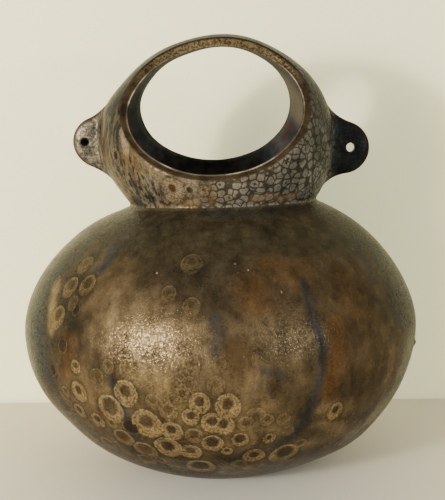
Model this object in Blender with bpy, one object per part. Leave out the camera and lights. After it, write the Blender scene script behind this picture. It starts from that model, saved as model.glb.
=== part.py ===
# Handled clay pot
#
# A closed round bulb sits on a wide round belly and opens into it through a throat. An oval
# window is cut right through the bulb from front to back, so that the clay left above it is a
# broad strap to carry the pot by. A pinched clay lug with a cord hole stands out on each side.
# The pot is one piece of fired clay, hollow and empty, and rests on a small flat foot.
#
# Metres, +Z up, the window faces -Y and +Y, the lugs stand along X. The origin is the middle
# of the foot.

import math

import bmesh
import bpy
from mathutils import Matrix, Vector

# Belly: widest radius, how far it rounds up and down from there, and how full the upper half is
BELLY_RADIUS = 0.120
BELLY_RISE = 0.0889
BELLY_RISE_POWER = 1.86
BELLY_DROP = 0.0920
BELLY_WALL = 0.005
FOOT_RADIUS = 0.038
FOOT_ROUNDING = 0.003
FLOOR_THICKNESS = 0.007

# Bulb: its radius and half height, its wall, and how far its round would sink into the belly's
BULB_RADIUS = 0.0704
BULB_HALF_HEIGHT = 0.0636
BULB_SINK = 0.0401
BULB_WALL = 0.0046
NECK_FILLET = 0.0028
THROAT_ROUNDING = 0.0025

# Window: half sizes of its inner edge seen from the front, its height over the bulb's middle
# in the front wall and in the back wall, and the rounding of the lip's outer edge, which turns
# this far before it runs out of the wall
WINDOW_HALF_WIDTH = 0.0496
WINDOW_HALF_HEIGHT = 0.0352
FRONT_WINDOW_LIFT = 0.0174
BACK_WINDOW_LIFT = 0.0202
LIP_ROUNDING = 0.0020
LIP_TURN = math.radians(60)

# Lugs: slab thickness, radius of the round head, the fillets at the roots and the soft edge.
# For each lug the head's distance from the axis and its height over the bulb's middle.
LUG_THICKNESS = 0.0080
LUG_HEAD_RADIUS = 0.0148
LUG_ROOT_FILLET = 0.0110
LUG_EDGE_ROUNDING = 0.0020
LUG_SINK = 0.0030
LEFT_LUG_REACH = 0.0726
LEFT_LUG_LIFT = 0.0004
RIGHT_LUG_REACH = 0.0778
RIGHT_LUG_LIFT = -0.0064

# Cord holes: radius and soft rim, how far in from the lug's tip, and the turn of the bore
HOLE_RIM = 0.0009
LEFT_HOLE_RADIUS = 0.0023
LEFT_HOLE_INSET = 0.0090
LEFT_HOLE_TURN = math.radians(-16)
RIGHT_HOLE_RADIUS = 0.0027
RIGHT_HOLE_INSET = 0.0116
RIGHT_HOLE_TURN = 0.0

# How finely round forms are stepped: sides all round, and steps along each stretch of a profile
OUTSIDE_SIDES = 64
OUTSIDE_STEPS = 10
HOLLOW_SIDES = 48
HOLLOW_STEPS = 7
WINDOW_STEPS = 52
LUG_HEAD_STEPS = 16
LUG_FILLET_STEPS = 5
CORNER_STEPS = 3
HOLE_SIDES = 16
CUT_MARGIN = 0.010
MERGE = 0.00001
SHARP_ANGLE = math.radians(35)

CLAY_COLOUR = (0.105, 0.078, 0.050, 1.0)
CLAY_ROUGHNESS = 0.38

# Where the parts of the profile stand, worked out from the sizes
BELLY_LEVEL = BELLY_DROP * math.sqrt(1.0 - (FOOT_RADIUS / BELLY_RADIUS) ** 2)
BULB_LEVEL = BELLY_LEVEL + BELLY_RISE - BULB_SINK + BULB_HALF_HEIGHT


def clear_scene():
    """Remove the objects that a new file starts with."""
    for thing in list(bpy.data.objects):
        bpy.data.objects.remove(thing)


def clay_material():
    """Dark brown fired clay with a soft gloss."""
    clay = bpy.data.materials.new("fired_clay")
    clay.use_nodes = True
    shader = clay.node_tree.nodes["Principled BSDF"]
    shader.inputs["Base Color"].default_value = CLAY_COLOUR
    shader.inputs["Roughness"].default_value = CLAY_ROUGHNESS
    shader.inputs["Metallic"].default_value = 0.0
    return clay


def make_object(name, shape, material):
    """Turn a finished bmesh into a named object."""
    bmesh.ops.recalc_face_normals(shape, faces=shape.faces)
    mesh = bpy.data.meshes.new(name)
    shape.to_mesh(mesh)
    shape.free()
    mesh.materials.append(material)
    made = bpy.data.objects.new(name, mesh)
    bpy.context.collection.objects.link(made)
    return made


def mark_as_guide(thing):
    """A shape that only cuts or joins another stays out of the model itself."""
    thing.hide_render = True
    thing.display_type = "WIRE"
    return thing


def combine(target, operand, operation):
    """Add an exact Boolean to the target."""
    step = target.modifiers.new(operation.lower() + "_" + operand.name, "BOOLEAN")
    step.operation = operation
    step.solver = "EXACT"
    step.object = operand


def round_width(radius, half_height, power, height):
    """Radius of a rounded form at a height measured from its widest level."""
    share = min(abs(height) / half_height, 1.0)
    return radius * (1.0 - share ** power) ** (1.0 / power)


def round_side(radius, half_height, power, level, start, end, steps):
    """Points (radius, height) along a rounded form's side, from one height to another."""
    def angle_of(height):
        share = min(abs(height - level) / half_height, 1.0)
        return math.copysign(math.asin(share ** (power / 2.0)), height - level)

    first, last = angle_of(start), angle_of(end)
    points = []
    for step in range(steps + 1):
        angle = first + (last - first) * step / steps
        width = radius * math.cos(angle) ** (2.0 / power)
        rise = half_height * abs(math.sin(angle)) ** (2.0 / power)
        points.append(Vector((width, level + math.copysign(rise, angle))))
    return points


def crease_height(belly_radius, belly_rise, bulb_radius, bulb_half_height):
    """Height where the belly's shoulder and the bulb's underside meet."""
    low = BULB_LEVEL - bulb_half_height
    high = min(BELLY_LEVEL + belly_rise, BULB_LEVEL)
    for _ in range(60):
        middle = (low + high) / 2.0
        shoulder = round_width(belly_radius, belly_rise, BELLY_RISE_POWER, middle - BELLY_LEVEL)
        underside = round_width(bulb_radius, bulb_half_height, 2.0, middle - BULB_LEVEL)
        if shoulder > underside:
            low = middle
        else:
            high = middle
    return (low + high) / 2.0


def rounded_corner(before, corner, after, rounding, steps):
    """Arc that replaces the sharp corner of an outline."""
    to_before = (before - corner).normalized()
    to_after = (after - corner).normalized()
    half_angle = to_before.angle(to_after) / 2.0
    reach = rounding / math.tan(half_angle)
    centre = corner + (to_before + to_after).normalized() * rounding / math.sin(half_angle)
    first = corner + to_before * reach - centre
    last = corner + to_after * reach - centre
    sweep = -first.angle_signed(last)
    return [centre + Matrix.Rotation(sweep * step / steps, 2) @ first for step in range(steps + 1)]


def body_profile(floor, belly_wall, bulb_wall, neck_rounding, steps):
    """Side of the pot from its underside to its top, or of the hollow a wall inside it."""
    belly_radius = BELLY_RADIUS - belly_wall
    belly_rise = BELLY_RISE - belly_wall
    belly_drop = BELLY_DROP - belly_wall
    bulb_radius = BULB_RADIUS - bulb_wall
    bulb_half_height = BULB_HALF_HEIGHT - bulb_wall
    crease = crease_height(belly_radius, belly_rise, bulb_radius, bulb_half_height)

    lower = round_side(belly_radius, belly_drop, 2.0, BELLY_LEVEL, floor, BELLY_LEVEL, steps)
    upper = round_side(belly_radius, belly_rise, BELLY_RISE_POWER, BELLY_LEVEL,
                       BELLY_LEVEL, crease, steps)
    bulb = round_side(bulb_radius, bulb_half_height, 2.0, BULB_LEVEL,
                      crease, BULB_LEVEL + bulb_half_height, steps)
    foot = rounded_corner(Vector((0.0, floor)), lower[0], lower[1], FOOT_ROUNDING, CORNER_STEPS)
    neck = rounded_corner(upper[-2], upper[-1], bulb[1], neck_rounding, CORNER_STEPS)
    return foot + lower[1:] + upper[1:-1] + neck + bulb[1:]


def turned_solid(name, profile, sides, material):
    """Spin a side profile round the Z axis and close it below."""
    shape = bmesh.new()
    verts = [shape.verts.new((point.x, 0.0, point.y)) for point in profile]
    edges = [shape.edges.new(pair) for pair in zip(verts, verts[1:])]
    bmesh.ops.spin(shape, geom=verts + edges, cent=(0.0, 0.0, 0.0), axis=(0.0, 0.0, 1.0),
                   angle=math.tau, steps=sides, use_merge=True)
    bmesh.ops.remove_doubles(shape, verts=shape.verts, dist=MERGE)
    bmesh.ops.holes_fill(shape, edges=shape.edges, sides=0)
    return make_object(name, shape, material)


def lofted_solid(name, rings, material):
    """Bridge closed rings of points one after the other and cap both ends."""
    shape = bmesh.new()
    loops = []
    for ring in rings:
        verts = [shape.verts.new(point) for point in ring]
        loops.append([shape.edges.new(pair) for pair in zip(verts, verts[1:] + verts[:1])])
    for near, far in zip(loops, loops[1:]):
        bmesh.ops.bridge_loops(shape, edges=near + far)
    bmesh.ops.holes_fill(shape, edges=shape.edges, sides=0)
    return make_object(name, shape, material)


def lip_section():
    """Cut through the lip: (distance back from the inner edge, distance out from the hollow)."""
    steps = [(0.0, 0.0)]
    for step in range(CORNER_STEPS):
        angle = LIP_TURN * step / (CORNER_STEPS - 1)
        steps.append((LIP_ROUNDING * (1.0 - math.cos(angle)),
                      BULB_WALL - LIP_ROUNDING * (1.0 - math.sin(angle))))
    run_out = CUT_MARGIN / 2.0
    steps.append((steps[-1][0] + run_out * math.sin(LIP_TURN),
                  steps[-1][1] + run_out * math.cos(LIP_TURN)))
    return steps


def window_edge(angle, side, lift):
    """Point of the window's inner edge on the hollow's wall, and the way straight out there."""
    inner_radius = BULB_RADIUS - BULB_WALL
    inner_half_height = BULB_HALF_HEIGHT - BULB_WALL
    across = WINDOW_HALF_WIDTH * math.cos(angle)
    above = lift + WINDOW_HALF_HEIGHT * math.sin(angle)
    depth = math.sqrt(1.0 - (across / inner_radius) ** 2 - (above / inner_half_height) ** 2)
    point = Vector((across, side * inner_radius * depth, BULB_LEVEL + above))
    outward = Vector((across / inner_radius ** 2, side * depth / inner_radius,
                      above / inner_half_height ** 2)).normalized()
    return point, outward


def window_rings(side, lift):
    """Rings of the cutter from the lip's inner edge out past the front or the back."""
    small_turn = math.tau / WINDOW_STEPS / 2.0
    section = lip_section()
    rings = [[] for _ in section]
    for step in range(WINDOW_STEPS):
        angle = math.tau * step / WINDOW_STEPS
        point, outward = window_edge(angle, side, lift)
        ahead = window_edge(angle + small_turn, side, lift)[0]
        behind = window_edge(angle - small_turn, side, lift)[0]
        back_from_edge = outward.cross(ahead - behind).normalized() * side
        for ring, (back, out) in zip(rings, section):
            ring.append(point + back_from_edge * back + outward * out)
    beyond = side * (BULB_RADIUS + CUT_MARGIN)
    rings.append([Vector((point.x, beyond, point.z)) for point in rings[-1]])
    return rings


def window_cutter(material):
    """The oval hole through the front and back of the bulb, with the lip's rounding."""
    front = window_rings(-1, FRONT_WINDOW_LIFT)
    back = window_rings(1, BACK_WINDOW_LIFT)
    return mark_as_guide(lofted_solid("window_cutter", front[::-1] + back, material))


def arc(centre, radius, start, end, steps):
    """Points on a circle arc between two directions."""
    points = []
    for step in range(steps + 1):
        angle = start + (end - start) * step / steps
        points.append(centre + radius * Vector((math.cos(angle), math.sin(angle))))
    return points


def direction(vector):
    """Angle of a flat vector from +X."""
    return math.atan2(vector.y, vector.x)


def lug_outline(reach, lift, inset):
    """Front outline of a lug that stands out along +X: hollow fillets, a round head and a root
    sunk in the bulb's wall. The inset draws the head in and lets the fillets out by as much."""
    head = Vector((reach, lift))
    root_slope = math.asin(LUG_HEAD_RADIUS / reach)
    bulb_here = BULB_RADIUS * BULB_HALF_HEIGHT / math.hypot(
        BULB_HALF_HEIGHT * math.cos(root_slope), BULB_RADIUS * math.sin(root_slope))

    # The fillets' centres are as far from the bulb and from the head as their radius asks
    to_bulb = bulb_here + LUG_ROOT_FILLET
    to_head = LUG_HEAD_RADIUS + LUG_ROOT_FILLET
    along = (to_bulb ** 2 - to_head ** 2 + head.length ** 2) / (2.0 * head.length)
    aside = math.sqrt(to_bulb ** 2 - along ** 2)
    outward = head.normalized()
    across = Vector((-outward.y, outward.x))
    upper = outward * along + across * aside
    lower = outward * along - across * aside

    fillet = LUG_ROOT_FILLET + inset
    upper_fillet = arc(upper, fillet, direction(-upper) + math.tau,
                       direction(head - upper) + math.tau, LUG_FILLET_STEPS)
    head_arc = arc(head, LUG_HEAD_RADIUS - inset, direction(upper - head),
                   direction(lower - head), LUG_HEAD_STEPS)
    lower_fillet = arc(lower, fillet, direction(head - lower), direction(-lower),
                       LUG_FILLET_STEPS)
    root = arc(Vector((0.0, 0.0)), bulb_here - LUG_SINK, direction(lower), direction(upper),
               LUG_FILLET_STEPS)
    return upper_fillet + head_arc[1:-1] + lower_fillet + root


def lug(name, side, reach, lift, material):
    """A slab of clay in the plane of the axis, soft at its edges, rooted in the bulb's wall."""
    half = LUG_THICKNESS / 2.0
    section = []
    for step in range(CORNER_STEPS + 1):
        angle = math.radians(90) * step / CORNER_STEPS
        section.append((LUG_EDGE_ROUNDING * (1.0 - math.sin(angle)),
                        half - LUG_EDGE_ROUNDING * (1.0 - math.cos(angle))))
    section = [(inset, -depth) for inset, depth in section] + section[::-1]
    rings = []
    for inset, depth in section:
        rings.append([Vector((side * point.x, depth, BULB_LEVEL + point.y))
                      for point in lug_outline(reach, lift, inset)])
    return mark_as_guide(lofted_solid(name, rings, material))


def cord_hole(name, side, reach, lift, radius, inset, turn, material):
    """Cutter for a cord hole: a straight bore with a soft rim at both faces of the lug."""
    half = LUG_THICKNESS / 2.0
    beyond = half + CUT_MARGIN
    flared = radius + HOLE_RIM + CUT_MARGIN
    profile = [Vector(pair) for pair in (
        (flared, -beyond), (radius, -half + HOLE_RIM), (radius, half - HOLE_RIM), (flared, beyond),
        (0.0, beyond))]
    cutter = turned_solid(name, profile, HOLE_SIDES, material)
    cutter.location = (side * (reach + LUG_HEAD_RADIUS - inset), 0.0, BULB_LEVEL + lift)
    cutter.rotation_euler = (math.radians(90), 0.0, turn)
    return mark_as_guide(cutter)


def build_pot():
    """Turn the body, hollow it, cut the window through it and join the lugs."""
    clay = clay_material()
    outside = body_profile(0.0, 0.0, 0.0, NECK_FILLET, OUTSIDE_STEPS)
    pot = turned_solid("pot", outside, OUTSIDE_SIDES, clay)
    inside = body_profile(FLOOR_THICKNESS, BELLY_WALL, BULB_WALL, THROAT_ROUNDING, HOLLOW_STEPS)
    hollow = mark_as_guide(turned_solid("hollow", inside, HOLLOW_SIDES, clay))
    combine(pot, lug("left_lug", -1, LEFT_LUG_REACH, LEFT_LUG_LIFT, clay), "UNION")
    combine(pot, lug("right_lug", 1, RIGHT_LUG_REACH, RIGHT_LUG_LIFT, clay), "UNION")
    combine(pot, hollow, "DIFFERENCE")
    combine(pot, window_cutter(clay), "DIFFERENCE")
    combine(pot, cord_hole("left_hole", -1, LEFT_LUG_REACH, LEFT_LUG_LIFT, LEFT_HOLE_RADIUS,
                           LEFT_HOLE_INSET, LEFT_HOLE_TURN, clay), "DIFFERENCE")
    combine(pot, cord_hole("right_hole", 1, RIGHT_LUG_REACH, RIGHT_LUG_LIFT, RIGHT_HOLE_RADIUS,
                           RIGHT_HOLE_INSET, RIGHT_HOLE_TURN, clay), "DIFFERENCE")
    pot.data.shade_smooth()
    pot.data.set_sharp_from_angle(angle=SHARP_ANGLE)
    return pot


clear_scene()
build_pot()
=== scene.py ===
# %% [markdown]
# # A handled clay pot
#
# The pot is one piece of fired clay: a wide round belly, a smaller round bulb above it, and an
# oval window cut right through the bulb, which leaves a broad strap to carry the pot by. Two
# pinched lugs with cord holes stand out at the sides. The glaze is dark brown with ringed ochre
# spots on the belly, and pale islands with dark seams on the bulb.
#
# The construction model gives the real size and place of everything. This script makes the fine
# surface that the eye sees, in the same frame: metres, +Z up, the window faces -Y.

# %% Load the frame
import math
import random

import bmesh
import bpy
from mathutils import Matrix, Vector, kdtree, noise
from mathutils.bvhtree import BVHTree


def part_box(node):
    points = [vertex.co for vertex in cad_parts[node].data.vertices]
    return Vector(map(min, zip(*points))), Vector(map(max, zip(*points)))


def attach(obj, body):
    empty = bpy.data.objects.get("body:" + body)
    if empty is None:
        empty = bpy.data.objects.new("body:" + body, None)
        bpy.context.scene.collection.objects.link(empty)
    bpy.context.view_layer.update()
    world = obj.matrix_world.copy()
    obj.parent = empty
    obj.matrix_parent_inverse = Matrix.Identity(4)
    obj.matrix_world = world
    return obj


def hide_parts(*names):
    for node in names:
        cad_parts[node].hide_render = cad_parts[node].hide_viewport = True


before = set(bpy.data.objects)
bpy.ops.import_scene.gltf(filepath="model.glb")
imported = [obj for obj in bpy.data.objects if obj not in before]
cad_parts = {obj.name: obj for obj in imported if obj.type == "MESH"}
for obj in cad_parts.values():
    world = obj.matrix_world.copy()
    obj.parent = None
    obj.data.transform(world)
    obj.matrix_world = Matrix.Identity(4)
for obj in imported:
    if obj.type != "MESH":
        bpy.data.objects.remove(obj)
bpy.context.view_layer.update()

low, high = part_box("pot")
print("pot box from", [round(value, 4) for value in low], "to", [round(value, 4) for value in high])

# %% [markdown]
# ## Driving sizes
#
# A thrown pot is described by very few sizes. The belly is round and a little flattened, so its
# side is a superellipse: an ellipse whose power says how full it is. The bulb is an ellipsoid.
# The widest radius and the full height come from the frame, so this pot can't grow out of it.

# %% Driving sizes
BELLY_RADIUS = high[0]
FOOT_RADIUS = 0.038
FOOT_ROUNDING = 0.003
BELLY_DROP = 0.0920
BELLY_RISE = 0.0889
BELLY_RISE_POWER = 1.86
BELLY_WALL = 0.005
FLOOR_THICKNESS = 0.007

BULB_RADIUS = 0.0704
BULB_HALF_HEIGHT = 0.0636
BULB_WALL = 0.0046
HOLLOW_RADIUS = BULB_RADIUS - BULB_WALL
HOLLOW_HALF_HEIGHT = BULB_HALF_HEIGHT - BULB_WALL

BELLY_LEVEL = BELLY_DROP * math.sqrt(1.0 - (FOOT_RADIUS / BELLY_RADIUS) ** 2)
BULB_MIDDLE = Vector((0.0, 0.0, high[2] - BULB_HALF_HEIGHT))
print("belly is widest at", round(BELLY_LEVEL, 4), "and the bulb's middle is at", round(BULB_MIDDLE.z, 4))

# %% [markdown]
# ## Camera
#
# The camera comes first, because a few marks of the glaze are placed where the photograph shows
# them. It stands at the height of the bulb and looks slightly down, and it leans a little, as a
# camera held in the hand does. `on_pixel` gives the line of sight through one pixel.

# %% Camera
IMAGE_WIDTH, IMAGE_HEIGHT = 445, 500
BELLY_PIXELS = 392.0
PIXEL_AT_AXIS = 2.0 * BELLY_RADIUS / BELLY_PIXELS
CAMERA_PIXELS = 960.0
CAMERA_HEIGHT = 0.2129
HORIZON_ROW = 117.5
CAMERA_ROLL = math.radians(1.27)
SHIFT_PIXELS = 3.245
SENSOR = 36.0

camera_data = bpy.data.cameras.new("camera")
camera = bpy.data.objects.new("camera", camera_data)
bpy.context.collection.objects.link(camera)
distance = CAMERA_PIXELS * PIXEL_AT_AXIS
pitch = math.atan((IMAGE_HEIGHT / 2.0 - HORIZON_ROW) / CAMERA_PIXELS)
camera_turn = Matrix.Rotation(math.pi / 2.0 - pitch, 3, "X") @ Matrix.Rotation(-CAMERA_ROLL, 3, "Z")
camera.location = (0.0, -distance, CAMERA_HEIGHT)
camera.rotation_euler = camera_turn.to_euler()
camera_data.sensor_width = SENSOR
camera_data.lens = SENSOR * CAMERA_PIXELS / IMAGE_HEIGHT
camera_data.shift_x = SHIFT_PIXELS / IMAGE_HEIGHT
bpy.context.scene.camera = camera


def on_pixel(column, row):
    """Direction of the line of sight through a pixel of the photograph."""
    across = column - IMAGE_WIDTH / 2.0 + SHIFT_PIXELS
    up = IMAGE_HEIGHT / 2.0 - row
    return (camera_turn @ Vector((across, up, -CAMERA_PIXELS))).normalized()


print("camera lens", round(camera_data.lens, 1), "mm at", round(distance, 3), "m")

# %% [markdown]
# ## The side profile
#
# A potter shapes the side with one curve. `round_side` walks along a superellipse by angle, which
# puts the points closer together where the curve is tight. The two curves meet in a crease at
# the neck, and halving the interval finds its height.

# %% Side profile
HALVINGS = 60


def round_side(radius, half_height, power, level, start, end, steps):
    """Points (radius, height) along a rounded form's side, from one height to another."""
    def angle_of(height):
        share = min(abs(height - level) / half_height, 1.0)
        return math.copysign(math.asin(share ** (power / 2.0)), height - level)

    first, last = angle_of(start), angle_of(end)
    points = []
    for step in range(steps + 1):
        angle = first + (last - first) * step / steps
        width = radius * math.cos(angle) ** (2.0 / power)
        rise = half_height * abs(math.sin(angle)) ** (2.0 / power)
        points.append(Vector((width, level + math.copysign(rise, angle))))
    return points


def crease_at(belly_radius, belly_rise, bulb_radius, bulb_half_height):
    """(radius, height) where the belly's shoulder and the bulb's underside meet."""
    low_end, high_end = BULB_MIDDLE.z - bulb_half_height, BELLY_LEVEL + belly_rise
    for _ in range(HALVINGS):
        middle = (low_end + high_end) / 2.0
        share = ((middle - BELLY_LEVEL) / belly_rise) ** BELLY_RISE_POWER
        shoulder = belly_radius * (1.0 - share) ** (1.0 / BELLY_RISE_POWER)
        underside = bulb_radius * math.sqrt(1.0 - ((middle - BULB_MIDDLE.z) / bulb_half_height) ** 2)
        if shoulder > underside:
            low_end = middle
        else:
            high_end = middle
    return Vector((underside, middle))


def arc(centre, start, end, steps):
    """Points on the round from start to end about a centre, all in one plane."""
    first, last = start - centre, end - centre
    sweep = -first.angle_signed(last)
    return [centre + Matrix.Rotation(sweep * step / steps, 2) @ first for step in range(steps + 1)]


def fillet(before, corner, after, rounding):
    """Centre and two ends of the arc that rounds a sharp corner."""
    to_before = (before - corner).normalized()
    to_after = (after - corner).normalized()
    half_angle = to_before.angle(to_after) / 2.0
    reach = rounding / math.tan(half_angle)
    centre = corner + (to_before + to_after).normalized() * rounding / math.sin(half_angle)
    return centre, corner + to_before * reach, corner + to_after * reach


NECK = crease_at(BELLY_RADIUS, BELLY_RISE, BULB_RADIUS, BULB_HALF_HEIGHT)
THROAT = crease_at(BELLY_RADIUS - BELLY_WALL, BELLY_RISE - BELLY_WALL, HOLLOW_RADIUS, HOLLOW_HALF_HEIGHT)
print("neck crease", [round(value, 4) for value in NECK], "throat", [round(value, 4) for value in THROAT])

# %% [markdown]
# ## Growing a sheet ring by ring
#
# The bulb is not a plain turned form, because two windows are cut through it. Cutting a fine
# mesh with a Boolean would leave long thin triangles at the lip, just where the gloss shows
# every flaw. So the sheet is grown from the window's lip outwards: a ring of edges is extruded,
# the new ring is set in its place, and that repeats until the neck and the crown are reached.
# Rows then follow the lip, as a carver's tool marks do.
#
# Each point remembers what it belongs to in four layers. `seam_row` counts the rows from the
# seam over the crown, `spoke` counts round the window, `lip` runs from 0 at the inner crest of
# the lip to 1 at its outer edge, and `lug` is 1 on a lug. The faces carry the glaze's number.

# %% Ring helpers
# The number of the belly's glaze, of the bulb's and of the hollow's.
ON_BELLY, ON_BULB, INSIDE = range(3)


def new_skin():
    """An empty skin with the layers that later steps read."""
    skin = bmesh.new()
    for kind, names in ((skin.verts.layers.int, ("seam_row", "spoke")),
                        (skin.verts.layers.float, ("lip", "lug"))):
        for name in names:
            kind.new(name)
    return skin


def new_ring(skin, places):
    """A closed ring of vertices and edges."""
    ring = [skin.verts.new(place) for place in places]
    for pair in zip(ring, ring[1:] + ring[:1]):
        skin.edges.new(pair)
    return ring


def grow(skin, ring, places, glaze):
    """Extrude a closed ring of edges once, set the new ring in its places and name its glaze."""
    edges = [skin.edges.get(pair) for pair in zip(ring, ring[1:] + ring[:1])]
    grown = bmesh.ops.extrude_edge_only(skin, edges=edges)["geom"]
    fresh = {vert for vert in grown if isinstance(vert, bmesh.types.BMVert)}
    source = {}
    for vert in fresh:
        for edge in vert.link_edges:
            if edge.other_vert(vert) not in fresh:
                source[edge.other_vert(vert)] = vert
    new = [source[vert] for vert in ring]
    for vert, place in zip(new, places):
        vert.co = place
        for face in vert.link_faces:
            face.material_index = glaze
    return new


def mark(skin, ring, **values):
    """Set layers of a ring: one value for all, or a list with one for each point."""
    for name, value in values.items():
        layer = skin.verts.layers.float.get(name) or skin.verts.layers.int.get(name)
        for place, vert in enumerate(ring):
            vert[layer] = value[place] if isinstance(value, list) else value


def onto_round(point, radius, half_height):
    """Push a point out from the bulb's middle until it lies on the bulb's round."""
    away = point - BULB_MIDDLE
    reach = math.sqrt((away.x ** 2 + away.y ** 2) / radius ** 2 + away.z ** 2 / half_height ** 2)
    return BULB_MIDDLE + away / reach


def out_of_round(point, radius, half_height):
    """Direction straight out of the bulb's round at a point on it."""
    away = point - BULB_MIDDLE
    return Vector((away.x / radius ** 2, away.y / radius ** 2, away.z / half_height ** 2)).normalized()

# %% [markdown]
# ## The window and its lip
#
# The window is an oval seen from the front, but its edge lies on the round wall, so it runs
# forward at the bottom and back at the top. Spokes join each place on the lip to a place on the
# frame line. That line runs over the crown in the plane of the lugs and then round half the
# neck, so that the front half and the back half share it and the belly can be sewn on below.
#
# The lip was cut with a knife and wiped with a sponge. Its inner edge stands as a thin crest,
# the cut face lies behind it, and the outer edge is rounded. A knife also leaves the oval a
# little uneven and askew.

# %% Window sizes
# For each window: side, middle, lift above the bulb's middle, half width, half height, tilt.
WINDOWS = {"front": (-1.0, -0.0009, 0.0186, 0.0502, 0.0363, math.radians(1.4)),
           "back": (1.0, -0.0011, 0.0205, 0.0487, 0.0355, 0.0)}
LIP_CREST = 0.0006
LIP_ROUNDING = 0.0024
CUT_WAVER = 0.00035
WAVER_TURNS = 2.2
LOOK_ASIDE = 0.002

NECK_SPOKES = 128
CROWN_SPOKES = 208
NECK_SPREAD = math.radians(25)
OUTER_ROWS = 30
INNER_ROWS = 14
ROW_CROWDING = 1.25
print("spokes round each window:", NECK_SPOKES + CROWN_SPOKES)

# %% Spokes and lip
def lip_angles():
    """Angle round the window for each spoke: first those to the neck, then those to the crown."""
    neck = [math.pi + NECK_SPREAD + (math.pi - 2.0 * NECK_SPREAD) * step / NECK_SPOKES
            for step in range(NECK_SPOKES)]
    crown = [-NECK_SPREAD + (math.pi + 2.0 * NECK_SPREAD) * step / CROWN_SPOKES
             for step in range(CROWN_SPOKES)]
    return neck + crown


def frame_line(side, crease, radius, half_height):
    """The spokes' far ends: half round the neck, then over the crown."""
    neck = []
    for step in range(NECK_SPOKES):
        angle = math.pi * step / NECK_SPOKES
        neck.append(Vector((-crease.x * math.cos(angle), side * crease.x * math.sin(angle), crease.y)))
    tilt = math.atan2((crease.y - BULB_MIDDLE.z) / half_height, crease.x / radius)
    crown = []
    for step in range(CROWN_SPOKES):
        angle = tilt + (math.pi - 2.0 * tilt) * step / CROWN_SPOKES
        crown.append(BULB_MIDDLE + Vector((radius * math.cos(angle), 0.0, half_height * math.sin(angle))))
    return neck + crown


def window_edge(angle, window):
    """Place of a window's inner edge on the hollow's round."""
    side, middle, lift, half_width, half_height, tilt = WINDOWS[window]
    round_here = Vector((WAVER_TURNS * math.cos(angle), WAVER_TURNS * math.sin(angle), side))
    waver = CUT_WAVER * noise.noise(round_here)
    oval = Vector(((half_width + waver) * math.cos(angle), (half_height + waver) * math.sin(angle)))
    across, above = Vector((middle, lift)) + Matrix.Rotation(tilt, 2) @ oval
    depth = math.sqrt(1.0 - (across / HOLLOW_RADIUS) ** 2 - (above / HOLLOW_HALF_HEIGHT) ** 2)
    return BULB_MIDDLE + Vector((across, side * HOLLOW_RADIUS * depth, above))


def lip_section():
    """Across the lip from its inner crest: (back from the edge, out from the hollow)."""
    steps = [(0.0, 0.0), (LIP_CREST * 0.1, LIP_CREST * 0.7), (LIP_CREST * 0.5, LIP_CREST * 1.2),
             (LIP_CREST * 1.2, LIP_CREST * 1.5), (LIP_CREST * 1.7, BULB_WALL * 0.32),
             (LIP_CREST * 1.9, BULB_WALL * 0.42)]
    for turn in (0, 15, 30, 45, 60, 75, 90):
        angle = math.radians(turn)
        steps.append((LIP_CREST * 2.0 + LIP_ROUNDING * (1.0 - math.cos(angle)),
                      BULB_WALL - LIP_ROUNDING * (1.0 - math.sin(angle))))
    return steps

# %% Halves of the bulb
def grow_to_line(skin, ring, line, radius, half_height, rows, glaze):
    """Grow rows from the lip to the frame line, each pushed out onto the round."""
    start = [vert.co.copy() for vert in ring]
    for row in range(1, rows + 1):
        share = 1.0 - (1.0 - row / rows) ** ROW_CROWDING
        places = [onto_round(near.lerp(far, share), radius, half_height)
                  for near, far in zip(start, line)]
        ring = grow(skin, ring, line if row == rows else places, glaze)
        outer = glaze == ON_BULB
        mark(skin, ring, lip=1.0 if outer else 0.0, seam_row=1 + rows - row if outer else 0,
             spoke=list(range(len(ring))))


def half_bulb(skin, window):
    """Front or back half of the bulb: the lip, the outer sheet and the inner sheet."""
    side = WINDOWS[window][0]
    section = lip_section()
    rings = [[] for _ in section]
    for angle in lip_angles():
        edge = window_edge(angle, window)
        outward = out_of_round(edge, HOLLOW_RADIUS, HOLLOW_HALF_HEIGHT)
        along = window_edge(angle + LOOK_ASIDE, window) - window_edge(angle - LOOK_ASIDE, window)
        back = along.cross(outward).normalized() * -side
        for ring, (aside, out) in zip(rings, section):
            ring.append(edge + back * aside + outward * out)

    crest = new_ring(skin, rings[0])
    ring = crest
    for step, places in enumerate(rings[1:], 1):
        ring = grow(skin, ring, places, ON_BULB)
        mark(skin, ring, lip=step / (len(section) - 1.0))
    outer_line = frame_line(side, NECK, BULB_RADIUS, BULB_HALF_HEIGHT)
    grow_to_line(skin, ring, outer_line, BULB_RADIUS, BULB_HALF_HEIGHT, OUTER_ROWS, ON_BULB)
    inner_line = frame_line(side, THROAT, HOLLOW_RADIUS, HOLLOW_HALF_HEIGHT)
    grow_to_line(skin, crest, inner_line, HOLLOW_RADIUS, HOLLOW_HALF_HEIGHT, INNER_ROWS, INSIDE)


skin = new_skin()
for window in WINDOWS:
    half_bulb(skin, window)
print("two halves of the bulb:", len(skin.faces), "faces")

# %% [markdown]
# ## Belly and throat
#
# The belly is a true turned form, so it is one profile spun round the axis. The spin uses as
# many steps as the neck has spokes all round, and starts at the same place, so that its top ring
# lies exactly on the bulb's and merging doubles sews the two together. Each spin happens in a
# small mesh of its own, because the spin compares every point with every other one.

# %% Belly
CREASE_STEPS = 4
CREASE_DEPTH = 0.0022
OUTER_BELLY_STEPS = 48
INNER_BELLY_STEPS = 18
FLAT_SHARES = (0.85, 0.65, 0.4, 0.15)
CORNER_STEPS = 3
MERGE = 0.00001


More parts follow.
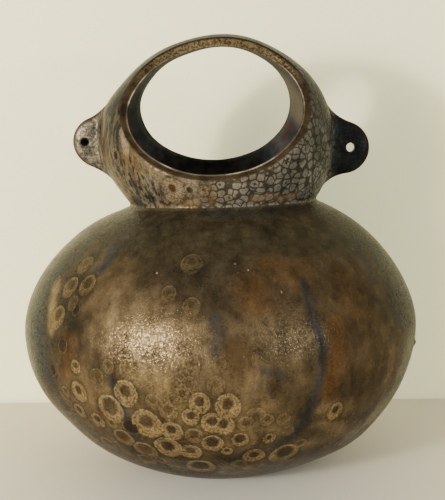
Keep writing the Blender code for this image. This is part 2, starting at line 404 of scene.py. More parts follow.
def belly_side(crease, wall, floor, steps):
    """Profile from the neck's crease down to the middle of the underside."""
    radius, rise, drop = BELLY_RADIUS - wall, BELLY_RISE - wall, BELLY_DROP - wall
    soft_end = crease.y - CREASE_DEPTH
    upper = round_side(radius, rise, BELLY_RISE_POWER, BELLY_LEVEL, crease.y, soft_end, CREASE_STEPS)
    middle = round_side(radius, rise, BELLY_RISE_POWER, BELLY_LEVEL, soft_end, BELLY_LEVEL, steps)
    lower = round_side(radius, drop, 2.0, BELLY_LEVEL, BELLY_LEVEL, floor, steps)
    centre, start, end = fillet(lower[-2], lower[-1], Vector((0.0, floor)), FOOT_ROUNDING)
    corner = arc(centre, start, end, CORNER_STEPS)
    flat = [Vector((corner[-1].x * share, floor)) for share in FLAT_SHARES]
    return upper + middle[1:] + lower[1:-1] + corner + flat


def spin_belly(profile, glaze):
    """Spin a profile and close the middle of its last ring."""
    turned = bmesh.new()
    verts = [turned.verts.new((-point.x, 0.0, point.y)) for point in profile]
    edges = [turned.edges.new(pair) for pair in zip(verts, verts[1:])]
    bmesh.ops.spin(turned, geom=verts + edges, cent=(0.0, 0.0, 0.0), axis=(0.0, 0.0, 1.0),
                   angle=math.tau, steps=2 * NECK_SPOKES, use_merge=True)
    floor = profile[-1].y
    last = [edge for edge in turned.edges if edge.is_boundary
            and all(abs(vert.co.z - floor) < MERGE for vert in edge.verts)]
    bmesh.ops.holes_fill(turned, edges=last, sides=0)
    for face in turned.faces:
        face.material_index = glaze
    return turned


def sew_in(skin, part):
    """Add another mesh to the skin."""
    carrier = bpy.data.meshes.new("carrier")
    part.to_mesh(carrier)
    part.free()
    skin.from_mesh(carrier)
    bpy.data.meshes.remove(carrier)


sew_in(skin, spin_belly(belly_side(NECK, 0.0, 0.0, OUTER_BELLY_STEPS), ON_BELLY))
sew_in(skin, spin_belly(belly_side(THROAT, BELLY_WALL, FLOOR_THICKNESS, INNER_BELLY_STEPS), INSIDE))
bmesh.ops.remove_doubles(skin, verts=skin.verts, dist=MERGE)


def count_open(skin):
    """How many edges don't have exactly two faces."""
    return sum(1 for edge in skin.edges if not edge.is_manifold)


print("sewn skin:", len(skin.faces), "faces,", count_open(skin), "open edges")

# %% [markdown]
# ## A soft joint at the neck
#
# The potter pressed a thin roll of clay into the joint and wiped it smooth, so the crease has a
# small hollow fillet. Every point that lies in the wedge between the two tangents is pulled
# towards the fillet's centre until it lies on its round.

# %% Neck fillet
NECK_FILLET = 0.0024
WEDGE_SLACK = 1.02


def soften_neck(skin):
    """Pull the crease outside onto a small hollow round."""
    shoulder = round_side(BELLY_RADIUS, BELLY_RISE, BELLY_RISE_POWER, BELLY_LEVEL,
                          NECK.y, NECK.y - CREASE_DEPTH, 1)[1]
    underside = round_side(BULB_RADIUS, BULB_HALF_HEIGHT, 2.0, BULB_MIDDLE.z,
                           NECK.y, NECK.y + CREASE_DEPTH, 1)[1]
    centre, start, end = fillet(shoulder, NECK, underside, NECK_FILLET)
    to_crease = NECK - centre
    wedge = to_crease.angle(start - centre)
    moved = 0
    for vert in skin.verts:
        level = Vector((math.hypot(vert.co.x, vert.co.y), vert.co.z))
        away = level - centre
        if NECK_FILLET < away.length < to_crease.length * WEDGE_SLACK and away.angle(to_crease) < wedge:
            on_round = centre + away.normalized() * NECK_FILLET
            vert.co.x *= on_round.x / level.x
            vert.co.y *= on_round.x / level.x
            vert.co.z = on_round.y
            moved += 1
    return moved


print("points on the neck's fillet:", soften_neck(skin))

# %% [markdown]
# ## The lugs
#
# A lug is a pinch of clay: a flat tab with a round head, drawn out of the wall and pierced for
# a cord while it was soft. It could be modelled apart and joined by a Boolean, but then it would
# look stuck on. Here a patch of the bulb's skin is opened and its edge is grown outwards, so the
# wall runs into the lug in one piece. The outline in the plane of the lugs is two hollow fillets
# and a round head, and `thickness_at` makes the tab a little fuller in the middle than at its rim.

# %% Lug sizes and outline
LUG_HALF_THICKNESS = 0.0040
LUG_SIDE_FILLET = 0.0034
LUG_FULLNESS = 3.2
LUG_END = 0.93
ROOT_STEPS = 9
HEAD_STEPS = 18
LUG_SHADE_STEPS = 6.0
FOOTPRINT_ROWS = 6
# For each lug: side, reach and lift of the head's middle, head radius, root fillet.
LUGS = {"left": (-1.0, 0.0726, 0.0004, 0.0148, 0.022), "right": (1.0, 0.0773, -0.0064, 0.0153, 0.023)}


def lug_edge(reach, lift, head_radius, root_fillet, up):
    """Upper or lower outline of a lug from the bulb's wall to the tip, seen from the front."""
    head = Vector((reach, lift))
    slope = math.asin(head_radius / reach)
    bulb_here = BULB_RADIUS * BULB_HALF_HEIGHT / math.hypot(
        BULB_HALF_HEIGHT * math.cos(slope), BULB_RADIUS * math.sin(slope))
    to_bulb, to_head = bulb_here + root_fillet, head_radius + root_fillet
    along = (to_bulb ** 2 - to_head ** 2 + head.length ** 2) / (2.0 * head.length)
    aside = up * math.sqrt(to_bulb ** 2 - along ** 2)
    outward = head.normalized()
    centre = outward * along + Vector((-outward.y, outward.x)) * aside
    root = centre * (bulb_here / to_bulb)
    joint = centre + (head - centre).normalized() * root_fillet
    tip = head + Vector((head_radius, 0.0))
    return arc(centre, root, joint, ROOT_STEPS) + arc(head, joint, tip, HEAD_STEPS)[1:]


def thickness_at(away):
    """Half thickness of the tab as a share, from the middle of the head (0) to its rim (1)."""
    return (1.0 - min(away, 1.0) ** LUG_FULLNESS) ** (1.0 / LUG_FULLNESS)


def lug_place(part, beyond, half_thickness):
    """Place in one section: (share of its half height, depth from the middle plane)."""
    kind, share, sign = part
    slack = 1.0 - beyond ** 2
    if kind == "face":
        rise = share * LUG_END
        return rise, sign * half_thickness * thickness_at(math.sqrt(beyond ** 2 + rise ** 2 * slack))
    depth = share * thickness_at(math.sqrt(beyond ** 2 + LUG_END ** 2 * slack))
    away = (1.0 - abs(depth) ** LUG_FULLNESS) ** (1.0 / LUG_FULLNESS)
    return sign * math.sqrt(max(away ** 2 - beyond ** 2, 0.0) / slack), depth * half_thickness

# %% Open the footprint
def open_loops(skin):
    """Each open loop of the skin as a list of points in order."""
    left = dict.fromkeys(edge for edge in skin.edges if edge.is_boundary)
    loops = []
    while left:
        edge = next(iter(left))
        del left[edge]
        loop = list(edge.verts)
        step = next((other for other in loop[-1].link_edges if other in left), None)
        while step is not None:
            del left[step]
            loop.append(step.other_vert(loop[-1]))
            step = next((other for other in loop[-1].link_edges if other in left), None)
        loops.append(loop[:-1])
    return loops


def open_footprint(skin, side, bottom, top):
    """Take out the patch of wall under a lug and return the loop round it."""
    row_layer, spoke_layer = skin.verts.layers.int["seam_row"], skin.verts.layers.int["spoke"]
    line = frame_line(-1.0, NECK, BULB_RADIUS, BULB_HALF_HEIGHT)
    spokes = {spoke for spoke, place in enumerate(line)
              if side * place.x > 0.0 and bottom <= place.z - BULB_MIDDLE.z <= top}
    patch = [face for face in skin.faces
             if all(1 <= vert[row_layer] <= 1 + FOOTPRINT_ROWS and vert[spoke_layer] in spokes
                    for vert in face.verts)]
    bmesh.ops.delete(skin, geom=patch, context="FACES")
    return open_loops(skin)[0]


def part_of_lug(loop, row_layer):
    """For each point of the loop: on which face or end of the lug it will lie, and how far along."""
    edge_row = 1 + FOOTPRINT_ROWS
    middle = sum(vert.co.z for vert in loop) / len(loop)
    parts = []
    for vert in loop:
        front = math.copysign(1.0, vert.co.y)
        if vert[row_layer] == edge_row:
            heights = [other.co.z for other in loop
                       if other[row_layer] == edge_row and other.co.y * front > 0.0]
            share = 2.0 * (vert.co.z - min(heights)) / (max(heights) - min(heights)) - 1.0
            parts.append(("face", share, front))
        else:
            share = front * (vert[row_layer] - 1) / FOOTPRINT_ROWS
            parts.append(("end", share, math.copysign(1.0, vert.co.z - middle)))
    return parts

# %% Grow the lugs
def grow_lug(skin, side, reach, lift, head_radius, root_fillet):
    """Draw one lug out of the bulb's wall."""
    upper, lower = (lug_edge(reach, lift, head_radius, root_fillet, up) for up in (1.0, -1.0))
    loop = open_footprint(skin, side, lower[0].y, upper[0].y)
    parts = part_of_lug(loop, skin.verts.layers.int["seam_row"])
    root_middle, root_half = (upper[0] + lower[0]) / 2.0, (upper[0] - lower[0]) / 2.0
    neck_middle = (upper[ROOT_STEPS] + lower[ROOT_STEPS]) / 2.0
    neck_half = (upper[ROOT_STEPS] - lower[ROOT_STEPS]) / 2.0
    for step in range(1, ROOT_STEPS + HEAD_STEPS):
        middle, half = (upper[step] + lower[step]) / 2.0, (upper[step] - lower[step]) / 2.0
        beyond = max(0.0, (middle.x - reach) / head_radius)
        growth = min(1.0, (middle.x - root_middle.x) / (neck_middle.x - root_middle.x))
        clear = (neck_middle.x - BULB_RADIUS) * growth
        short = max(0.0, LUG_SIDE_FILLET - clear)
        flare = LUG_SIDE_FILLET - math.sqrt(LUG_SIDE_FILLET ** 2 - short ** 2)
        places = []
        for part in parts:
            rise, depth = lug_place(part, beyond, LUG_HALF_THICKNESS + flare)
            place = middle + half * rise
            out = place.x
            if step < ROOT_STEPS:
                height = (root_middle + root_half * rise).y
                wall = BULB_RADIUS * math.sqrt(1.0 - (height / BULB_HALF_HEIGHT) ** 2
                                               - (depth / BULB_RADIUS) ** 2)
                out = wall + ((neck_middle + neck_half * rise).x - wall) * growth
            places.append(BULB_MIDDLE + Vector((side * out, depth, place.y)))
        loop = grow(skin, loop, places, ON_BULB)
        mark(skin, loop, lug=min(1.0, step / LUG_SHADE_STEPS), lip=1.0)
    tip = BULB_MIDDLE + Vector((side * upper[-1].x, 0.0, upper[-1].y))
    bmesh.ops.pointmerge(skin, verts=loop, merge_co=tip)


for name, lug in LUGS.items():
    grow_lug(skin, *lug)
    print(name, "lug grown,", len(skin.faces), "faces,", count_open(skin), "open edges")

# %% [markdown]
# ## Cord holes
#
# Each lug was pierced with a stick. On both faces a few cells of the grid are taken out, the
# loop left behind is set on a true circle, and it is grown inwards over a soft rim. Bridging the
# two inner loops makes the bore. The left bore is turned, so no light comes through it.

# %% Cord holes
HOLE_RIM = 0.0010
RIM_STEPS = 4
# For each hole: radius, inset from the lug's tip, how far the stick was turned, and the degrees
# at which its front and back rims start. An extrusion doesn't order its edges the same way in
# each run, so a rim that started at its first edge could come out turned a little.
HOLES = {"left": (0.0023, 0.0094, math.radians(-26), (145, 45)),
         "right": (0.0027, 0.0116, 0.0, (-155, -155))}


def rim_of_hole(skin, centre, radius, front, first_turn, known):
    """Open one face of a lug and grow the rim of the hole inwards. Returns the last ring."""
    doomed = [face for face in skin.faces
              if front * face.calc_center_median().y > LUG_HALF_THICKNESS / 2.0
              and (face.calc_center_median() - centre).xz.length < radius + HOLE_RIM]
    bmesh.ops.delete(skin, geom=doomed, context="FACES")
    ring = next(loop for loop in open_loops(skin) if loop[0] not in known)
    turns = [math.atan2(vert.co.z - centre.z, vert.co.x - centre.x) for vert in ring]
    off_start = [abs(math.remainder(turn - first_turn, math.tau)) for turn in turns]
    start = off_start.index(min(off_start))
    ring, turns = ring[start:] + ring[:start], turns[start:] + turns[:start]
    way = 1.0 if sum(math.sin(b - a) for a, b in zip(turns, turns[1:])) > 0.0 else -1.0
    even = [turns[0] + way * math.tau * place / len(ring) for place in range(len(ring))]
    wide = radius + HOLE_RIM
    for vert, turn in zip(ring, even):
        vert.co.x = centre.x + wide * math.cos(turn)
        vert.co.z = centre.z + wide * math.sin(turn)
    surface = [vert.co.y for vert in ring]
    for step in range(1, RIM_STEPS + 1):
        angle = math.pi / 2.0 * step / RIM_STEPS
        here = radius + HOLE_RIM * (1.0 - math.sin(angle))
        deep = HOLE_RIM * (1.0 - math.cos(angle))
        places = [Vector((centre.x + here * math.cos(turn), y - front * deep,
                          centre.z + here * math.sin(turn))) for turn, y in zip(even, surface)]
        ring = grow(skin, ring, places, ON_BULB)
        mark(skin, ring, lug=1.0, lip=1.0)
    return ring


def pierce(skin, lug, hole):
    """Pierce a lug from front to back."""
    side, reach, lift, head_radius, _ = lug
    radius, inset, turn, starts = hole
    middle = BULB_MIDDLE + Vector((side * (reach + head_radius - inset), 0.0, lift))
    rings = []
    for front, start in zip((-1.0, 1.0), starts):
        slide = -math.tan(turn) * front * LUG_HALF_THICKNESS
        centre = middle + Vector((slide, front * LUG_HALF_THICKNESS, 0.0))
        known = rings[0] if rings else []
        rings.append(rim_of_hole(skin, centre, radius, front, math.radians(start), known))
    edges = []
    for ring in rings:
        edges += [skin.edges.get(pair) for pair in zip(ring, ring[1:] + ring[:1])]
    for face in bmesh.ops.bridge_loops(skin, edges=edges)["faces"]:
        face.material_index = ON_BULB


for name, lug in LUGS.items():
    pierce(skin, lug, HOLES[name])
    print(name, "lug pierced,", len(skin.faces), "faces,", count_open(skin), "open edges")

# %% [markdown]
# ## Made by hand
#
# So far the pot is as true as a turned part, and a hand-built pot is not. The neck sits a little
# to the right, the strap was pulled flatter on its left, and the belly sags to the lower right
# and was pressed flat at the lower left. Each such press moves the clay by a smooth share that
# fades with the distance, through the wall, so the wall keeps its thickness. The presses are
# small, and they only lead inwards where the pot touches the box of its construction model. The
# strap is a little flatter from front to back than a true round, so its rear edge is lifted.

# %% Presses
# For each press: place (across, up), how far it reaches, and how far it moves the clay, in metres.
PRESSES = {
    "neck, left": ((-0.058, 0.164), 0.019, (0.0050, -0.0020)),
    "neck, right": ((0.058, 0.167), 0.016, (0.0011, -0.0007)),
    "strap, upper left": ((-0.050, 0.240), 0.028, (0.0022, -0.0015)),
    "strap, top": ((-0.018, 0.260), 0.025, (0.0004, -0.0018)),
    "strap, upper right": ((0.038, 0.254), 0.020, (-0.0005, -0.0008)),
    "lug, upper left": ((-0.069, 0.221), 0.012, (-0.0014, 0.0005)),
    "lug, lower left": ((-0.076, 0.183), 0.008, (-0.0002, -0.0007)),
    "lug, upper right": ((0.078, 0.211), 0.009, (0.0002, 0.0005)),
    "lug, lower right": ((0.079, 0.180), 0.008, (0.0001, -0.0004)),
    "shoulder, left": ((-0.092, 0.148), 0.026, (0.0006, -0.0008)),
    "shoulder, upper right": ((0.086, 0.147), 0.018, (0.0003, 0.0004)),
    "shoulder, right": ((0.112, 0.112), 0.024, (-0.0006, -0.0003)),
    "side, right": ((0.116, 0.066), 0.022, (-0.0009, 0.0)),
    "belly, lower left": ((-0.0895, 0.038), 0.017, (0.0009, 0.0009)),
    "belly, lower right": ((0.076, 0.020), 0.020, (0.0015, -0.0012)),
}
STRAP_REAR = Vector((0.012, 0.021, 0.2555))
STRAP_REAR_REACH = 0.038
STRAP_REAR_LIFT = 0.0017
STRAP_REAR_MOST = 1.3


def press(skin):
    """Move the clay by every press at once."""
    for vert in skin.verts:
        moved = vert.co.copy()
        for (across, up), reach, (aside, rise) in PRESSES.values():
            away = math.hypot(vert.co.x - across, vert.co.z - up) / reach
            share = math.exp(-away ** 2)
            moved.x += aside * share
            moved.z += rise * share
        away = (vert.co - STRAP_REAR).xz.length / STRAP_REAR_REACH
        to_rear = min(max(vert.co.y / STRAP_REAR.y, 0.0), STRAP_REAR_MOST)
        moved.z += STRAP_REAR_LIFT * to_rear ** 2 * math.exp(-away ** 2)
        moved.z = max(moved.z, 0.0)
        vert.co = moved


press(skin)
print("pressed by hand in", len(PRESSES), "places")

# %% [markdown]
# Two marks show on the outline: a small drip of glaze at the right, and a flat where the pot
# stood against something while it was soft. The drip is far smaller than the grid, so the faces
# under it are divided first. The flat is found from the outline that the photograph shows: a
# plane through the camera and two pixels cuts the belly there, and what stands out is pressed in.

# %% Drip and flat
DRIP_PIXEL = (415.4, 342.0)
DRIP_HEIGHT = 0.0009
DRIP_SPREAD = 0.0013
DRIP_PATCH = 0.005
DRIP_CUTS = 3
DRIP_FADE = 4.0
FLAT_PIXELS = ((357.5, 439.0), (336.0, 455.0))
FLAT_HOLLOW = 0.0006
FLAT_REACH = 0.020


def nearest_sight(skin, pixel):
    """The outer point of the belly that lies nearest to the line of sight through a pixel."""
    ray = on_pixel(*pixel)

    def off_sight(vert):
        away = vert.co - camera.location
        return (away - ray * away.dot(ray)).length

    outside = [vert for vert in skin.verts
               if any(face.material_index == ON_BELLY for face in vert.link_faces)]
    return min(outside, key=off_sight).co.copy()


def add_drip(skin, pixel):
    """Raise one small drip of glaze."""
    middle = nearest_sight(skin, pixel)
    near = {edge for vert in skin.verts if (vert.co - middle).length < DRIP_PATCH
            for edge in vert.link_edges
            if all(face.material_index == ON_BELLY for face in edge.link_faces)}
    bmesh.ops.subdivide_edges(skin, edges=list(near), cuts=DRIP_CUTS, use_grid_fill=True)
    out = Vector((middle.x, middle.y, 0.0)).normalized()
    for vert in skin.verts:
        away = (vert.co - middle).length / DRIP_SPREAD
        if away < DRIP_FADE and all(face.material_index == ON_BELLY for face in vert.link_faces):
            vert.co += out * DRIP_HEIGHT * math.exp(-away ** 2 / 2.0)
    return middle


def press_flat(skin, pixels):
    """Press in what stands outside the plane through the camera and two pixels of the outline."""
    first, second = (on_pixel(*pixel) for pixel in pixels)
    middle_ray = (first + second).normalized()
    middle = nearest_sight(skin, tuple((a + b) / 2.0 for a, b in zip(*pixels)))
    normal = first.cross(second).normalized()
    if normal.dot(Vector((1.0, 0.0, -1.0))) < 0.0:
        normal.negate()
    moved = 0
    for vert in skin.verts:
        away = vert.co - middle
        off = (away - middle_ray * away.dot(middle_ray)).length / FLAT_REACH
        if off >= 1.0 or vert.co.z <= 0.0:
            continue
        stands_out = (vert.co - camera.location).dot(normal) + FLAT_HOLLOW * (1.0 - off ** 2)
        if stands_out > 0.0:
            vert.co -= normal * stands_out
            moved += 1
    return moved


print("points pressed flat:", press_flat(skin, FLAT_PIXELS))
print("drip at", [round(value, 4) for value in add_drip(skin, DRIP_PIXEL)])
bmesh.ops.recalc_face_normals(skin, faces=skin.faces)
print("pot skin:", len(skin.verts), "points,", count_open(skin), "open edges,",
      round(skin.calc_volume(signed=True) * 1e6), "cm3 of clay")

# %% [markdown]
# ## Where the glaze changes
# Some strokes paint light and shade instead: a sheen, highlights, light in the hollow and shade in grooves.
#
# Most of the glaze's pattern follows a rule, and the materials below work it out. What no rule
# gives is where a dark run came down, where the fire left a rust glow, or where the glaze is thin
# and warm. Those places are brushed onto the skin: a route of pixels is cast onto the pot, and
# every point near it takes a share of that paint, which fades to the sides. Each paint is a layer
# of numbers from 0 to 1, and the materials break its soft edge up with noise.
#
# The back can't be seen, so it gets the same strokes again, turned about the axis and weaker.

# %% Brush
PAINTS = ("tan", "ochre", "rust", "ink", "olive", "pale")
BRUSH_STEP = 2.0
BACK_TURNS = {math.radians(118): 0.8, math.radians(196): 0.8, math.radians(262): 0.7}
BEHIND = 0.03

for paint in PAINTS:
    skin.verts.layers.float.new(paint)
skin.verts.ensure_lookup_table()
skin.faces.ensure_lookup_table()
sight = BVHTree.FromBMesh(skin)
near_points = kdtree.KDTree(len(skin.verts))
for index, vert in enumerate(skin.verts):
    near_points.insert(vert.co, index)
near_points.balance()


def on_pot(pixel):
    """Place on the pot that a pixel shows, the way it faces and its glaze."""
    place, facing, index, _ = sight.ray_cast(camera.location, on_pixel(*pixel))
    return (place, facing, skin.faces[index].material_index) if place else None


def dab(skin, layer, place, width, strength, glaze):
    """Lay one dab of paint on the points of one glaze round a place."""
    for _, index, away in near_points.find_range(place, width):
        vert = skin.verts[index]
        if any(face.material_index == glaze for face in vert.link_faces):
            share = strength * (1.0 - (away / width) ** 2) ** 2
            vert[layer] = max(vert[layer], share)


def brush(skin, paint, width, strength, *route):
    """Paint along a route of pixels, and again in keeping on the unseen back of the belly."""
    layer = skin.verts.layers.float[paint]
    for first, second in zip(route, route[1:]):
        start, end = Vector(first), Vector(second)
        steps = max(1, round((end - start).length / BRUSH_STEP))
        for step in range(steps):
            hit = on_pot(start.lerp(end, step / steps))
            if hit is None:
                continue
            place, _, glaze = hit
            dab(skin, layer, place, width, strength, glaze)
            if glaze == ON_BELLY:
                for turn, share in BACK_TURNS.items():
                    turned = Matrix.Rotation(turn, 3, "Z") @ place
                    if turned.y > BEHIND:
                        dab(skin, layer, turned, width, strength * share, glaze)

# %% Strokes on the belly
# For each paint: strokes as half width in metres, strength, and a route of pixels.
BELLY_STROKES = {
    # The warm field where the glaze is thin, partly painted highlight where it lies under the main
    # highlight, and paler bands lower down.
    "tan": [(0.026, 0.85, (118, 318), (150, 332), (188, 345)), (0.018, 0.30, (118, 294), (145, 298)),
            (0.022, 0.48, (150, 368), (200, 374), (245, 380)), (0.018, 0.36, (245, 330), (300, 338)),
            (0.010, 0.60, (394, 352), (386, 384)), (0.011, 0.75, (312, 443), (345, 430))],
    # Golden ground between the spots.
    "ochre": [(0.010, 0.80, (141, 376), (170, 388)), (0.013, 0.60, (158, 408), (186, 398)),
              (0.006, 0.90, (56, 284), (52, 306), (51, 330)),
              (0.026, 0.36, (92, 398), (150, 424), (215, 432), (262, 424)),
              (0.009, 0.30, (268, 404), (285, 412)), (0.009, 0.65, (322, 408), (346, 409)),
              (0.007, 0.50, (318, 424), (340, 428))],
    # Rust beside the run, and soft glows above it.
    "rust": [(0.010, 0.95, (338, 326), (336, 360), (328, 393)), (0.014, 0.60, (250, 286), (256, 304)),
             (0.014, 0.50, (268, 266), (300, 276)), (0.018, 0.30, (350, 278), (352, 312)),
             (0.009, 0.55, (398, 336), (394, 378)), (0.009, 0.60, (68, 340), (66, 374)),
             (0.012, 0.40, (238, 352), (240, 372))],
    # The blue-black run and its foot, smaller dark marks, and the shade at the left.
    "ink": [(0.0038, 0.90, (303, 280), (308, 300), (314, 322), (320, 338), (323, 352)),
            (0.0050, 0.70, (323, 352), (321, 376), (315, 400), (309, 414)),
            (0.0060, 0.75, (309, 412), (303, 423), (290, 438), (272, 446)),
            (0.0060, 0.50, (214, 318), (219, 336), (213, 352)),
            (0.0050, 0.65, (354, 238), (366, 262), (373, 284)),
            (0.0070, 0.85, (113, 248), (107, 262), (98, 272)),
            (0.0034, 0.60, (262, 371), (275, 373), (286, 377)),
            (0.0070, 0.90, (40, 332), (43, 352), (47, 376)),
            (0.0048, 0.90, (112, 378), (119, 398), (128, 420), (137, 440)),
            (0.0100, 0.50, (210, 213), (255, 213), (300, 210)),
            (0.0035, 0.60, (60, 398), (84, 428), (118, 452)),
            (0.0130, 0.70, (58, 268), (38, 304), (34, 336), (38, 368))],
    # The shoulder, and the edges at the left and right.
    "olive": [(0.030, 0.60, (118, 224), (200, 234), (280, 236), (344, 240)),
              (0.022, 0.55, (186, 268), (246, 270)), (0.020, 0.50, (384, 262), (404, 318)),
              (0.022, 0.80, (74, 256), (52, 282), (40, 320), (46, 372)),
              (0.012, 0.60, (84, 276), (66, 300), (70, 330))],
    # Painted sheen: a thin grey reflection painted along both sides and under the belly.
    "pale": [(0.008, 0.10, (30, 340), (31, 362), (41, 390), (61, 414), (92, 444)),
             (0.014, 0.50, (409, 346), (398, 384), (380, 410), (352, 436)),
             (0.012, 0.35, (180, 466), (240, 472), (305, 462))],
}

# %% Strokes on the bulb and in its hollow
BULB_STROKES = {
    # Ochre at the joint and beside the window.
    "rust": [(0.0036, 0.62, (252, 200), (268, 197), (280, 199), (298, 195)),
             (0.0045, 0.75, (184, 203), (200, 203)), (0.0050, 0.70, (207, 190), (213, 203)),
             (0.0090, 0.35, (134, 152), (150, 168)), (0.0040, 0.60, (132, 86), (128, 112), (132, 132)),
             (0.0040, 0.80, (343, 163), (347, 168)), (0.0045, 0.90, (292, 126), (284, 138))],
    # A pale field at the lower left, painted light on the right of the hollow, and a painted highlight at
    # the top right of the window's lip.
    "pale": [(0.0045, 1.00, (123, 134), (127, 151)), (0.0110, 0.45, (146, 160), (168, 172), (192, 178)),
             (0.0080, 0.80, (168, 186), (196, 192)),
             (0.0120, 1.00, (258, 62), (282, 78), (297, 100), (299, 116)),
             (0.0024, 1.00, (261, 50), (273, 56))],
    # Dark glaze over the strap, beside the left lug and at the left of the neck, and painted shade in the
    # grooves at the foot of the lugs and over the strap's upper right.
    "ink": [(0.0032, 0.95, (339, 116), (337, 140), (334, 172)), (0.0045, 0.85, (136, 199), (144, 206)),
            (0.0022, 0.90, (98, 128), (99, 134)), (0.0026, 0.90, (103, 157), (105, 164)),
            (0.0150, 0.95, (182, 42), (150, 58), (126, 84), (112, 108)),
            (0.0120, 0.50, (110, 114), (113, 142)),
            (0.0160, 0.80, (262, 44), (300, 68), (320, 98), (326, 120)),
            (0.0110, 0.45, (318, 130), (318, 160))],
}

# %% Brush the strokes on
for paint in PAINTS:
    strokes = BELLY_STROKES[paint] + BULB_STROKES.get(paint, [])
    for width, strength, *route in strokes:
        brush(skin, paint, width, strength, *route)
    print(paint, "brushed on in", len(strokes), "strokes")

# %% [markdown]
# ## Ringed spots
#
# Where the glaze boiled, each burst bubble healed as a spot: a dark core near its upper end, a
# thin cream line round it, and a grainy ochre body that ran down a little. The spots must be
# sharp to a fraction of a millimetre, and the skin's grid is ten times coarser, so no layer of
# numbers on its points could draw them. Instead each corner of each face is told where it lies
# in the spot's own frame: across, and down the slope, with the body's edge at 1. Those numbers
# run evenly over a face, so the material can draw the spot as sharply as it likes. A face keeps
# its nearest spot and the next one, so that close neighbours both show.

# %% Spot kinds and places
SPOT_STRETCH = 1.15
SPOT_REACH = 1.6
NO_SPOT = Vector((9.0, 9.0, 0.0))
# For each kind: size of the core (under 0 it has none), how ochre the body is (under 0 it is
# beige, or a bright fleck), how rusty the core is, and its strength.
SPOT_KINDS = {
    "drop": (0.42, 1.0, 0.15, 0.80), "disc": (0.58, 0.9, 0.0, 0.78), "dark": (0.80, 0.2, 0.0, 0.80),
    "ring": (0.58, 0.6, 0.8, 0.68), "faint": (0.34, 0.6, 0.3, 0.38), "dim": (0.46, 0.7, 0.2, 0.55),
    "eye": (0.30, -0.5, 0.8, 1.0), "grey eye": (0.42, -0.4, 0.0, 1.0), "speck": (-0.50, -2.5, 0.0, 1.0),
}
# For each kind: where the photograph shows one (column, row) and the half width in millimetres.
SEEN_SPOTS = {
    "drop": [(75.5, 367, 3.6), (79, 392, 5.6), (98, 420.5, 4.6), (125.6, 394, 7.0), (147, 424.6, 8.8),
             (168.7, 448, 7.9), (191, 452, 5.9), (172, 431.5, 6.0), (190.6, 417.7, 4.7), (199.6, 404, 5.6),
             (228, 407, 6.7), (212.5, 423.5, 6.0), (223.5, 426, 5.8), (227, 451.3, 3.2), (254, 456, 6.2),
             (335, 411.4, 5.0), (80, 411, 4.4), (269, 438.6, 3.6)],
    "dim": [(70, 287.4, 5.8), (87, 285.3, 5.6), (57.7, 317.5, 6.0), (194, 436, 5.0), (168, 412, 5.2),
            (142, 462, 4.2), (90, 436, 3.6), (246, 424, 4.4), (239, 464, 4.6), (182, 395, 3.8),
            (112, 424, 3.4), (66, 392, 3.2), (267, 420, 3.6), (300, 444, 4.0)],
    "disc": [(111, 409.5, 7.9), (212.6, 443.8, 5.9), (201, 467, 8.2), (283.6, 454, 8.4), (240, 440, 4.8)],
    "dark": [(131, 428, 5.4), (76, 310.7, 3.0), (62.5, 346.5, 4.0), (53, 370, 3.6)],
    "ring": [(146, 450.6, 7.0), (124, 438, 6.2), (109, 443.8, 5.6), (147.5, 460, 5.6), (161, 460.5, 3.4)],
    "faint": [(128, 370, 5.0), (173, 387.6, 5.2), (188.6, 386, 4.6), (216, 386, 4.6), (153, 402.7, 4.4),
              (172.8, 401, 4.6), (96.8, 378, 4.6), (191.4, 365.6, 4.6), (219, 364.5, 3.8), (85, 265, 5.4),
              (191.4, 264, 5.8), (168.8, 293.5, 4.0), (191.4, 307, 4.6), (108, 367, 3.6), (255.7, 418, 5.6),
              (283.6, 419.5, 3.8), (288, 431, 3.6), (327, 422, 2.8), (343, 418.5, 2.8), (72.8, 303, 4.0)],
    "eye": [(173, 191, 7.2), (204, 191, 3.2)],
    "grey eye": [(190, 191.5, 4.0), (116, 157, 4.6)],
    "speck": [(235, 264, 0.6), (248, 270, 0.6), (281, 292, 0.7), (250, 300, 0.5), (157, 273, 0.6)],
}

# %% Place the spots
UNSEEN_SPOTS = 96
UNSEEN_KINDS = ("drop", "drop", "disc", "faint", "faint", "dark")
UNSEEN_SIZE = (0.0036, 0.0080)
UNSEEN_ARC = (math.radians(-8), math.radians(188))
# Their heights are drawn from a beta curve, which puts more of them low down.
UNSEEN_CURVE = (1.5, 2.2)
UNSEEN_TOP = 1.6
UNSEEN_TRIES = 4000
UNSEEN_SEED = 4
SPOT_GAP = 0.95
NEIGHBOURS = 4


def spot_at(place, facing, half_width, kind):
    """A spot's frame: middle, unit directions across and down the slope, half width and kind."""
    down = Vector((0.0, 0.0, -1.0))
    down = (down - facing * down.dot(facing)).normalized()
    return place, down.cross(facing).normalized(), down, half_width, kind


def unseen_spots(spots):
    """Scatter spots over the back and the sides, more of them low down, none on top of another."""
    draw = random.Random(UNSEEN_SEED)
    tries = 0
    wanted = len(spots) + UNSEEN_SPOTS
    while len(spots) < wanted and tries < UNSEEN_TRIES:
        tries += 1
        turn = draw.uniform(*UNSEEN_ARC)
        height = BELLY_LEVEL * draw.betavariate(*UNSEEN_CURVE) * UNSEEN_TOP
        half_width = draw.uniform(*UNSEEN_SIZE)
        kind = draw.choice(UNSEEN_KINDS)
        outside = Vector((math.cos(turn), math.sin(turn), 0.0)) * 2.0 * BELLY_RADIUS
        start = outside + Vector((0.0, 0.0, height))
        place, facing, index, _ = sight.ray_cast(start, -outside.normalized())
        if place is None or skin.faces[index].material_index != ON_BELLY:
            continue
        gaps = ((place - other[0]).length / (half_width + other[3]) for other in spots)
        if min(gaps) > SPOT_GAP:
            spots.append(spot_at(place, facing, half_width, kind))


spots = []
for kind, seen in SEEN_SPOTS.items():
    for column, row, half_width in seen:
        hit = on_pot((column, row))
        if hit:
            spots.append(spot_at(hit[0], hit[1], half_width / 1000.0, kind))
seen_count = len(spots)
unseen_spots(spots)
print(seen_count, "spots where the photograph shows them and", len(spots) - seen_count, "more behind")

